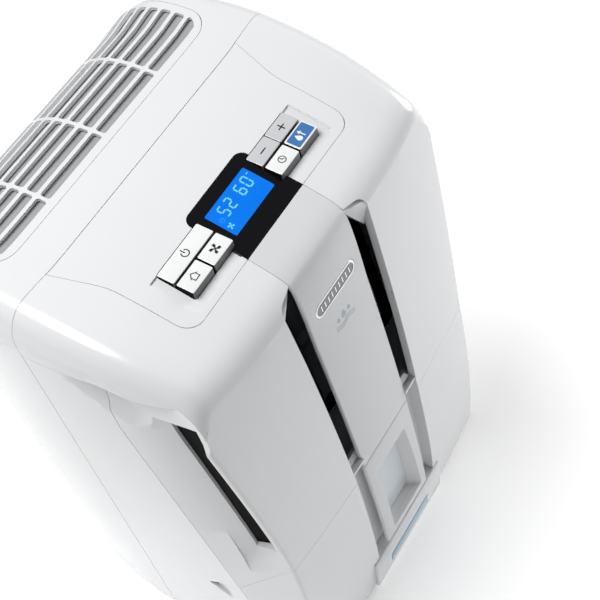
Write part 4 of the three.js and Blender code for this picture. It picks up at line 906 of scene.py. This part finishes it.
# %% Tank front, foot and strip
FOOT_HALF = 63.5
FOOT_TOP_Z = 54.0
STRIP_HALF, STRIP_LOW, STRIP_HIGH = 36.5, 15.0, 30.0
foot_section = [(3.2, SKIRT_Z - 1.8), (18, SKIRT_Z - 1.8), (18, FOOT_TOP_Z), (1.6, FOOT_TOP_Z),
                (0.3, FOOT_TOP_Z - 5)]
foot = side_prism([(FRONT_Y + y, z) for y, z in foot_section], -FOOT_HALF, FOOT_HALF)
soften(foot, 1.2, angle=20)
tank = keep(copy_of(shell), tank_zone(HALF_SEAM), block((-FAR, -FAR, -20), (FAR, SPLIT_Y - 30, FAR)))
cut(tank, channel(FOOT_TOP_Z, TANK_SEAM_Z + 5), side_zone(-HALF_SEAM, 1), side_zone(-HALF_SEAM, -1))
join(tank, channel_tray(FOOT_TOP_Z - 2, TANK_SEAM_Z - HALF_SEAM), foot)
cut(tank, block((-STRIP_HALF, FRONT_Y - 5, STRIP_LOW), (STRIP_HALF, FRONT_Y + 5.5, STRIP_HIGH)))
dress(tank, "tank_front_shell", "tank", WHITE, "tank_front")

strip = block((-STRIP_HALF + 0.4, FRONT_Y + 1.6, STRIP_LOW + 0.3),
              (STRIP_HALF - 0.4, FRONT_Y + 5.2, STRIP_HIGH - 2.5))
soften(strip, 0.6)
dress(strip, "blue_strip", "tank", ICE_BLUE, "indicator_strip")

# %% [markdown]
# ## Rear housing and outlet grille
# The grille follows the rear rounding of the top. Its slots are cut square to the surface, eleven
# across and four along, and a set of grey vanes lies a little below them.

# %% Rear housing
GRILLE_HALF, GRILLE_FRONT, GRILLE_BACK_Z = 138.0, 45.5, 432.0


def grille_column(grow, radius=20.0):
    wide = GRILLE_HALF + grow
    front, back = GRILLE_FRONT - grow, BACK_Y + 60
    outline = [(-wide, front), (wide, front), (wide, back), (-wide, back)]
    return column(rounded(outline, [radius, radius, 0, 0], 10), GRILLE_BACK_Z - grow, HEIGHT + 20)


def back_hole(x, z, radius):
    turns = [math.tau * i / 24 for i in range(24)]
    ring = [(x + radius * math.cos(turn), z + radius * math.sin(turn)) for turn in turns]
    return front_prism(ring, BACK_Y - 12, BACK_Y + 5)


rear = keep(copy_of(shell), block((-FAR, SPLIT_Y + HALF_SEAM, -20), (FAR, FAR, ABOVE)))
cut(rear, grille_column(HALF_SEAM), block((-92.5, BACK_Y - 4, 237.5), (92.5, BACK_Y + 5, 408.5)))
for x, z, radius in ((88, 62, 9.3), (-82, 130, 9.3), (-75, 223, 3.5), (75, 223, 3.5)):
    cut(rear, back_hole(x, z, radius))
dress(rear, "rear_shell", "body", WHITE, "rear_housing")


# %% Outlet grille
def top_run():
    """The side view of the top from the grille's front edge to the back wall, as short steps."""
    run = [Vector((y, top_z(y))) for y in range(int(GRILLE_FRONT), int(CREST_Y))]
    wide = BACK_Y + 0.8 - CREST_Y
    tall = CREST_Z - HEIGHT + REAR_FALL
    for i in range(61):
        angle = math.pi / 2 * (1 - i / 60)
        run.append(Vector((CREST_Y + wide * math.cos(angle), HEIGHT - REAR_FALL + tall * math.sin(angle))))
    return run


def along_top(distance):
    for a, b in zip(TOP_RUN, TOP_RUN[1:]):
        step = (b - a).length
        if distance <= step:
            return a + (b - a) * (distance / step), math.atan2(b.y - a.y, b.x - a.x)
        distance -= step
    return TOP_RUN[-1], -math.pi / 2


TOP_RUN = top_run()
grille_reach = 0.0
for a, b in zip(TOP_RUN, TOP_RUN[1:]):
    if a.y < GRILLE_BACK_Z and a.x > CREST_Y:
        break
    grille_reach += (b - a).length
SLOT_COUNT = 11
BAYS = [(-131, -71.5), (-68.5, -1.5), (1.5, 68.5), (71.5, 131)]
margin = 6.5
pitch = (grille_reach - 2 * margin) / SLOT_COUNT
slot_width = pitch - 3.4
slots = []
for row in range(SLOT_COUNT):
    place, angle = along_top(margin + pitch * (row + 0.5))
    for left, right in BAYS:
        half = slot_width / 2
        corners = [(left, -half), (right, -half), (right, half), (left, half)]
        bm = stack(rounded(corners, 2.2, 4), 1)
        bmesh.ops.translate(bm, vec=(0, 0, -0.5), verts=bm.verts)
        bmesh.ops.scale(bm, vec=(1, 1, 24), verts=bm.verts)
        bmesh.ops.rotate(bm, verts=bm.verts, cent=(0, 0, 0), matrix=Matrix.Rotation(angle, 3, "X"))
        bmesh.ops.translate(bm, vec=(0, place.x, place.y), verts=bm.verts)
        slots.append(solid(bm))
inside_border = grille_column(-6.0, 15.0)
for tool in slots:
    keep(tool, copy_of(inside_border))
bpy.data.objects.remove(inside_border)
grille = keep(copy_of(skin), grille_column(-HALF_SEAM))
cut(grille, *slots)
dress(grille, "outlet_bars", "body", WHITE, "outlet_grille")

vanes = cut(form(4.5), form(6.0))
keep(vanes, grille_column(-4.0, 16.0))
dress(vanes, "outlet_vanes", "body", VANE_GREY)
print("grille slots", len(slots), "pitch", round(pitch, 1))

# %% [markdown]
# ## The spine
# The spine is a strip that follows its own curve up the front, turns over the brow and ends flush at
# the display. Its side edges are rounded. A ribbed chrome pill sits high on it, above small drops.

# %% Spine
BADGE_Z, BADGE_HALF, BADGE_TALL = 419.0, 28.0, 7.2
SPINE_DEEP = 4.5
SPINE_TURN_Z = BROW_Z - 8
SPINE_FOOT_Z = 61.0
SPINE_LEAN = 29.4
EMBLEM_Z = 386.0


def spine_y(z):
    share = max(z - SPINE_FOOT_Z, 0) / (SPINE_TURN_Z - SPINE_FOOT_Z)
    return FRONT_Y + 0.1 + SPINE_LEAN * share**1.55


def strip_outline(chain):
    """A strip in the side view: a chain of points and the same chain moved inwards."""
    inner = []
    for i, (y, z) in enumerate(chain):
        before, after = chain[max(i - 1, 0)], chain[min(i + 1, len(chain) - 1)]
        along = Vector((after[0] - before[0], after[1] - before[1])).normalized()
        inner.append((y - along.y * SPINE_DEEP, z + along.x * SPINE_DEEP))
    return chain + inner[::-1]


def bezier(start, turn, end, steps):
    """The points of a quadratic curve, without its end."""
    start, turn, end = Vector(start), Vector(turn), Vector(end)
    shares = [i / steps for i in range(steps)]
    return [tuple(start * (1 - t) ** 2 + turn * 2 * t * (1 - t) + end * t * t) for t in shares]


spine_top_y = PANEL_FRONT_Y - HALF_SEAM
chain = [(y, top_z(y) + 1) for y in (spine_top_y, -104)]
chain += bezier((-110, top_z(-110) + 1), (-128.5, BROW_Z + 25.5), (-133.2, BROW_Z + 13.5), 12)
chain += bezier((-133.2, BROW_Z + 13.5), (-136.9, BROW_Z + 4), (spine_y(390), 390), 12)
chain += [(spine_y(z), z) for z in range(390, int(TANK_SEAM_Z) + 5, -12)]
chain.append((spine_y(TANK_SEAM_Z), TANK_SEAM_Z + HALF_SEAM))
spine = side_prism(strip_outline(chain), -SPINE_HALF + 0.2, SPINE_HALF - 0.2)
soften(spine, 1.2, 4, angle=70)
keep(spine, form(0), block((-FAR, -FAR, TANK_SEAM_Z + HALF_SEAM), (FAR, spine_top_y, ABOVE)))


def on_spine(bm, z, out=0.0):
    """Lays a flat shape, drawn in XY and thick along Z, on the face of the spine."""
    up = Vector((0, spine_y(z + 1) - spine_y(z - 1), 2)).normalized()
    out_of = Vector((0, -up.z, up.y))
    turned = Matrix((Vector((1, 0, 0)), up, out_of)).transposed()
    bmesh.ops.rotate(bm, verts=bm.verts, cent=(0, 0, 0), matrix=turned)
    bmesh.ops.translate(bm, vec=Vector((0, spine_y(z), z)) + out_of * out, verts=bm.verts)
    return solid(bm)


def pill(half, tall, thick):
    outline = rounded([(-half, -tall), (half, -tall), (half, tall), (-half, tall)], tall - 0.02, 12)
    bm = stack(outline, 1)
    bmesh.ops.scale(bm, vec=(1, 1, thick), verts=bm.verts)
    return bm


cut(spine, on_spine(pill(BADGE_HALF + 0.3, BADGE_TALL + 0.3, 4), BADGE_Z, -1.4))
dress(spine, "spine_strip", "body", SATIN, "centre_spine")
badge = soften(on_spine(pill(BADGE_HALF, BADGE_TALL, 2.4), BADGE_Z, -1.2), 0.6, 3)
cut(badge, on_spine(pill(BADGE_HALF - 1.9, BADGE_TALL - 1.9, 3), BADGE_Z, 0.7))
dress(badge, "badge_rim", "body", CHROME, "badge")
plate = on_spine(pill(BADGE_HALF - 2.1, BADGE_TALL - 2.1, 1.2), BADGE_Z, -0.25)
dress(plate, "badge_plate", "body", BADGE_GREY)


def gather(parts):
    """Several bmeshes as one."""
    whole = bmesh.new()
    for part in parts:
        mesh = bpy.data.meshes.new("part")
        part.to_mesh(mesh)
        part.free()
        whole.from_mesh(mesh)
        bpy.data.meshes.remove(mesh)
    return whole


def flat_shape(outlines, thick):
    """Several outlines as one flat bmesh of a given thickness."""
    parts = [stack(outline, 1) for outline in outlines]
    for part in parts:
        bmesh.ops.scale(part, vec=(1, 1, thick), verts=part.verts)
    return gather(parts)


def drop_outline(size, x=0.0, y=0.0):
    """A drop with its point up."""
    points = [(x, y + 1.7 * size)]
    for i in range(21):
        angle = math.radians(35 - 250 * i / 20)
        points.append((x + size * math.cos(angle), y + size * math.sin(angle) - 0.3 * size))
    return points


def wave(y, thick):
    top = [(x, y + 1.3 * math.sin(x / 2.6)) for x in range(-13, 14)]
    return [(x, z - thick) for x, z in top] + top[::-1]


emblem = [drop_outline(3.0, 0, 2.5), drop_outline(1.8, -7.5, 2.0), drop_outline(1.8, 7.5, 2.0),
          wave(-4.0, 0.9), wave(-7.0, 0.9)]
dress(on_spine(flat_shape(emblem, 0.4), EMBLEM_Z, -0.28), "emblem_drops", "body", PALE_INK)
ribs = [[(x - 0.5, -3), (x + 0.5, -3), (x + 0.5, 3), (x - 0.5, 3)] for x in range(-20, 21, 5)]
dress(on_spine(flat_shape(ribs, 0.5), BADGE_Z, 0.8), "badge_ribs", "body", CHROME)

# %% [markdown]
# ## The foot of the spine
# It belongs to the tank front and slides out with it. A pocket with two sloping walls is sunk into
# it, and the pane on its floor shows the level in the tank.

# %% Grip and pane
heights = [TANK_SEAM_Z - HALF_SEAM, *range(200, 61, -10), SPINE_FOOT_Z]
chain = [(spine_y(z), z) for z in heights]
grip = side_prism(strip_outline(chain), -SPINE_HALF + 0.2, SPINE_HALF - 0.2)
soften(grip, 1.8, 4, angle=70)
surround = leant_box(-29, 32, SEAM_FRONT_Y + 4, SEAM_FRONT_Y + 10.8, levels_between(66, 188, 8))
pocket = hull([(-24, -170, 67.4), (33.7, -170, 67.4), (33.7, -170, 183), (-24, -170, 183),
               (-24, -150, 83.5), (14.5, -150, 83.5), (14.5, -150, 183), (-24, -150, 183)])
soften(pocket, 2.0, 4, angle=20)
cut(join(grip, surround), pocket)
dress(grip, "spine_foot", "tank", SATIN, "spine_grip")
pane_y = SEAM_FRONT_Y + 11
pane = leant_box(-28, 31, pane_y, pane_y + 1.8, levels_between(70, 186, 8))
dress(pane, "level_pane", "tank", CLEAR, "level_window")

# %% [markdown]
# ## Control panel
# The inlay is cut from the same skin. Two shallow pits with soft edges surround the keys, and the
# dark window lies between them with a glowing display set flush into it.

# %% Inlay and window
GLASS_HALF, GLASS_BACK_Y = 38.0, -43.5
LCD_HALF, LCD_FRONT_Y, LCD_BACK_Y = 26.0, -81.5, -54.5
KEY_INNER, KEY_OUTER, KEY_BACK, KEY_FRONT = 33.0, 84.5, -52.5, -84.5
KEY_GAP, KEY_RISE, KEY_LOW_Z = 1.5, 5.6, 472.8
TOP = HEIGHT + 10


def glass_column(grow):
    side = GLASS_HALF + grow
    outline = [(-side, PANEL_FRONT_Y + HALF_SEAM), (side, PANEL_FRONT_Y + HALF_SEAM),
               (side, GLASS_BACK_Y + grow), (-side, GLASS_BACK_Y + grow)]
    return column(rounded(outline, [0, 0, 8, 8], 8), BROW_Z, TOP)


def plan_box(x0, y0, x1, y1, radius):
    return column(rounded([(x0, y0), (x1, y0), (x1, y1), (x0, y1)], radius), BROW_Z, TOP)


def key_well(side, grow):
    x0, x1 = sorted((side * (KEY_INNER - grow), side * (KEY_OUTER + grow)))
    return plan_box(x0, KEY_FRONT - grow, x1, KEY_BACK + grow, 2.5)


def pit(side, grow, deep):
    """The shallow pit round a group of keys: everything above a floor that follows the top."""
    x0, x1 = sorted((side * KEY_INNER, side * (KEY_OUTER + 8 + grow)))
    bottom = plan_box(x0, KEY_FRONT - 8 - grow, x1, KEY_BACK, [4 + grow, 4 + grow, 1.5, 1.5])
    return cut(bottom, form(deep))


inlay = keep(copy_of(skin), panel_column(HALF_SEAM))
front_gap = block((-GLASS_HALF - HALF_SEAM, PANEL_FRONT_Y - 5, BROW_Z),
                  (GLASS_HALF + HALF_SEAM, -90, ABOVE))
cut(inlay, glass_column(HALF_SEAM), front_gap)
for side in (1, -1):
    cut(inlay, pit(side, 0, 1.8), pit(side, 0.6, 0.9), pit(side, 1.2, 0.35), key_well(side, 0.5))
dress(inlay, "control_inlay", "body", WHITE, "control_panel", angle=24)

window = keep(copy_of(skin), glass_column(-HALF_SEAM))
lcd_half = LCD_HALF + HALF_SEAM
lcd_hole = plan_box(-lcd_half, LCD_FRONT_Y - HALF_SEAM, lcd_half, LCD_BACK_Y + HALF_SEAM, 1.2)
cut(window, lcd_hole, key_well(1, 0.5), key_well(-1, 0.5))
dress(window, "display_glass", "body", GLASS_BLACK, "display_window")

lcd = cut(form(0.15), form(2.4))
keep(lcd, plan_box(-LCD_HALF, LCD_FRONT_Y, LCD_HALF, LCD_BACK_Y, 1.2))
dress(lcd, "display_lit", "body", DISPLAY, "lcd_module")

# %% [markdown]
# Thin inked shapes are drawn flat and then laid on a surface, which is either the plane of the keys
# or the display. A shape is a list of outlines.

# %% Drawing on a surface
def key_plane(y):
    share = (KEY_BACK - y) / (KEY_BACK - KEY_FRONT)
    start = top_z(KEY_BACK) + 0.3
    return start + share * (top_z(KEY_FRONT) + KEY_RISE - start)


def display_plane(y):
    return top_z(y) - 0.15


def bar(a, b, width):
    a, b = Vector(a), Vector(b)
    along = (b - a).normalized() * width / 2
    across = Vector((-along.y, along.x))
    return [a - along - across, b + along - across, b + along + across, a - along + across]


def arc(radius, width, start, sweep, steps=24):
    points = []
    for ring, order in ((radius, range(steps + 1)), (radius - width, range(steps, -1, -1))):
        for i in order:
            angle = math.radians(start + sweep * i / steps)
            points.append(Vector((ring * math.cos(angle), ring * math.sin(angle))))
    return points


def disc(radius, steps=20):
    turns = [math.tau * i / steps for i in range(steps)]
    return [Vector((radius * math.cos(turn), radius * math.sin(turn))) for turn in turns]


def drawn(name, outlines, centre, surface, material, body, height=0.14):
    """One thin piece from several outlines, laid on a surface that is a height for each Y."""
    parts = []
    for n, outline in enumerate(outlines):
        part = stack([(centre[0] + p[0], centre[1] + p[1]) for p in outline], 1)
        tall = height + 0.01 * n
        bend(part, lambda x, y, k: Vector((x, y, surface(y) + (tall if k else -0.25))))
        parts.append(part)
    piece = solid(gather(parts))
    piece.name = piece.data.name = name
    piece.data.materials.append(material)
    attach(piece, body)
    return piece


SEGMENTS = {"0": "abcdef", "2": "abged", "5": "afgcd", "6": "afgedc"}


def digit(character, x, y, tall):
    """The outlines of one seven-segment digit with its lower left corner at x, y."""
    wide = tall * 0.5
    half = tall / 2
    ends = {
        "a": ((0, tall), (wide, tall)), "b": ((wide, tall), (wide, half)), "c": ((wide, half), (wide, 0)),
        "d": ((0, 0), (wide, 0)), "e": ((0, half), (0, 0)), "f": ((0, tall), (0, half)),
        "g": ((0, half), (wide, half)),
    }
    shapes = []
    for segment in SEGMENTS[character]:
        a, b = (Vector(end) for end in ends[segment])
        gap = (b - a).normalized() * 1.1
        shapes.append([p + Vector((x, y)) for p in bar(a + gap, b - gap, 1.15)])
    return shapes


figures = []
for character, x in (("5", -16.1), ("2", -7.6), ("6", 5.9), ("0", 14.5)):
    figures += digit(character, x, -68.2, 9.6)
figures.append(bar((22.4, -59.6), (23.6, -59.6), 0.7))
drawn("display_figures", figures, (0, 0), display_plane, DIGIT, "body")
PETAL = [(0.2, 0.0), (1.0, 3.4), (2.9, 2.9), (2.4, 1.2)]


def fan_blades(scale=1.0):
    """Four swept blades round a small hub."""
    blades = [disc(0.8 * scale)]
    for i in range(4):
        quarter = Matrix.Rotation(math.pi / 2 * i, 2)
        blades.append([quarter @ Vector(point) * scale for point in PETAL])
    return blades


drawn("display_fan", fan_blades(0.7), (-21.3, -74), display_plane, DIGIT, "body")
mark = [arc(2.2, 0.5, 0, 359.9), bar((-0.8, 0), (0.8, 0), 0.5)]
drawn("display_mark", mark, (-21, -66.5), display_plane, DISPLAY_DIM, "body")

# %% [markdown]
# ## Keys
# Each key stands proud at its front edge and falls away towards the back. Its walls carry painted
# shade, dark grey at the front and black at the other sides, and every top carries one inked sign.

# %% Keys
MIDDLE_X = (KEY_INNER + KEY_OUTER) / 2
MIDDLE_Y = (KEY_BACK + KEY_FRONT) / 2
ROW_GAP = 1.9
BORDER = 1.5
POWER_SIGN = [arc(3.5, 0.85, 125, 290), bar((0, 0.6), (0, 4.1), 0.9)]
FAN_SIGN = fan_blades(1.15)
HOUSE_SIGN = [bar(*line, 0.7) for line in (
    ((-3.6, 0.4), (0, 3.4)), ((3.6, 0.4), (0, 3.4)), ((-2.6, 0.4), (-2.6, -2.8)),
    ((2.6, 0.4), (2.6, -2.8)), ((-2.6, -2.8), (2.6, -2.8)))]
MINUS_SIGN = [bar((-3, 0), (3, 0), 1.0)]
PLUS_SIGN = [bar((-3, 0), (3, 0), 1.0), bar((0, -3), (0, 3), 1.0)]
CLOCK_SIGN = [arc(3.4, 0.7, 0, 359.9), bar((0, 0), (0, 2), 0.7), bar((0, 0), (1.5, -0.6), 0.7)]
PUMP_SIGN = [drop_outline(2.4, -3.2, -0.6), bar((1.4, -3), (1.4, 1.6), 1.0),
             [(-0.6, 1.4), (3.4, 1.4), (1.4, 4.2)]]
KEYS = [
    ("power_key", "power", -1, KEY_INNER, KEY_OUTER, "back", KEY_WHITE, POWER_SIGN),
    ("fan_key", "fan_speed", -1, KEY_INNER, MIDDLE_X - KEY_GAP / 2, "front", KEY_WHITE, FAN_SIGN),
    ("eco_key", "eco", -1, MIDDLE_X + KEY_GAP / 2, KEY_OUTER, "front", KEY_WHITE, HOUSE_SIGN),
    ("minus_key", "minus", 1, KEY_INNER, MIDDLE_X - 0.2, "back", KEY_SILVER, MINUS_SIGN),
    ("plus_key", "plus", 1, MIDDLE_X + 0.2, KEY_OUTER, "back", KEY_SILVER, PLUS_SIGN),
    ("timer_key", "timer", 1, KEY_INNER, MIDDLE_X - KEY_GAP / 2, "front", KEY_WHITE, CLOCK_SIGN),
    ("pump_key", "pump", 1, MIDDLE_X + KEY_GAP / 2, KEY_OUTER, "front", KEY_WHITE, PUMP_SIGN),
]
for node, body, side, inner, outer, row, material, sign in KEYS:
    back = KEY_BACK if row == "back" else MIDDLE_Y - ROW_GAP / 2
    front_edge = MIDDLE_Y + ROW_GAP / 2 if row == "back" else KEY_FRONT
    x0, x1 = sorted((side * inner, side * outer))
    outline = rounded([(x0, front_edge), (x1, front_edge), (x1, back), (x0, back)], 1.2, 4)
    key = solid(bend(stack(outline, 1), lambda x, y, k: Vector((x, y, key_plane(y) if k else KEY_LOW_Z))))
    soften(key, 0.7, 3, angle=60)
    dress(key, node + "_cap", body, material, node, angle=50)
    # Painted shade: front walls take the dark grey and the other walls black, chosen by which way each
    # face points.
    key.data.materials.append(KEY_WALL_PAINTED_SHADE)
    key.data.materials.append(BLACK)
    for face in key.data.polygons:
        painted_shade_slot = 1 if face.normal.y < -0.45 else 2
        face.material_index = 0 if face.normal.z > 0.45 else painted_shade_slot
    centre = ((x0 + x1) / 2, (front_edge + back) / 2)
    if node == "pump_key":
        left, right, near, off = x0 + BORDER, x1 - BORDER, front_edge + BORDER, back - BORDER
        field = rounded([(left, near), (right, near), (right, off), (left, off)], 1.0, 4)
        drawn("pump_key_field", [field], (0, 0), key_plane, KEY_BLUE, body, height=0.1)
        drawn("pump_key_sign", sign, centre, key_plane, KEY_WHITE, body, height=0.2)
    else:
        drawn(node + "_sign", sign, centre, key_plane, INK, body)

# %% [markdown]
# ## Wheels
# The tyres and hubs are turned from a section, which is where their round edges come from.

# %% Wheels
WHEEL_R, WHEEL_HALF = 13.0, 5.0


def turned_x(section, centre, material, name, body, *nodes):
    """A ring or disc turned about an axle along X. section holds (x, radius) points."""
    bm = bmesh.new()
    points = [bm.verts.new((centre[0] + x, centre[1], centre[2] + r)) for x, r in section]
    edges = [bm.edges.new((points[i], points[(i + 1) % len(points)])) for i in range(len(points))]
    bmesh.ops.spin(bm, geom=points + edges, cent=centre, axis=(1, 0, 0), angle=math.tau, steps=48,
                   use_merge=True)
    bmesh.ops.remove_doubles(bm, verts=bm.verts, dist=0.001)
    return dress(solid(bm), name, body, material, *nodes)


tyre = [(-WHEEL_HALF, 9.0), (-WHEEL_HALF, 11.2), (-4.2, 12.5), (-2.8, WHEEL_R), (2.8, WHEEL_R),
        (4.2, 12.5), (WHEEL_HALF, 11.2), (WHEEL_HALF, 9.0)]
hub = [(-4.4, 2.3), (-4.4, 8.8), (4.4, 8.8), (4.4, 2.3)]
for end, y in (("front", -101.0), ("rear", 115.0)):
    for word, x in (("left", -110.5), ("right", 110.5)):
        node = "caster_wheel_" + end + "_" + word
        body = "wheel_" + end + "_" + word
        turned_x(tyre, (x, y, WHEEL_R), RUBBER, node + "_tyre", body, node)
        turned_x(hub, (x, y, WHEEL_R), SATIN, node + "_hub", body)

# %% [markdown]
# ## Dark backing
# Behind each side vent hangs a black baffle. It keeps light from showing through the body, and its black
# is painted shade inside the vent.

# %% Baffles, black as painted shade in the vents
for side, word in ((-1, "left"), (1, "right")):
    section = [(VENT_FROM - 4, 14), (VENT_TO + 5, 14), (VENT_TO + 5, 15.5), (VENT_FROM - 4, 15.5)]
    painted_shade_baffle = facet_tool(side, section, lambda a: 224, lambda a: vent_high(a) + 3)
    # The black of the baffle is painted shade for the inside of the vent.
    dress(painted_shade_baffle, word + "_vent_baffle", "body", BLACK)

# %% [markdown]
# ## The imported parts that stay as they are
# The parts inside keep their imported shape. Each takes the finish of its material slot.

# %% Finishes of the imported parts
NEW_SLOTS = {material: name for name, material in SLOT_FINISH.items()}
NEW_SLOTS.update({VANE_GREY: "satin_plastic", DIGIT: "display_blue", DISPLAY_DIM: "display_blue",
                  INK: "black_plastic", PALE_INK: "pale_blue", CHROME: "bright_metal",
                  BADGE_GREY: "bright_metal"})
for leftover in (inner_limit, skin, shell):
    bpy.data.objects.remove(leftover)
record_slots = {part["node"]: part["material_slot"] for part in frame["record"]["subparts"]}
for name, node in frame["nodes"].items():
    node.data.materials.clear()
    node.data.materials.append(SLOT_FINISH[record_slots[name]])
dressed = 0
for piece in bpy.data.objects:
    if piece.type == "MESH" and piece.name not in frame["nodes"] and piece is not floor:
        dressed += 1
print("packed parts", len(frame["nodes"]), "new pieces", dressed)
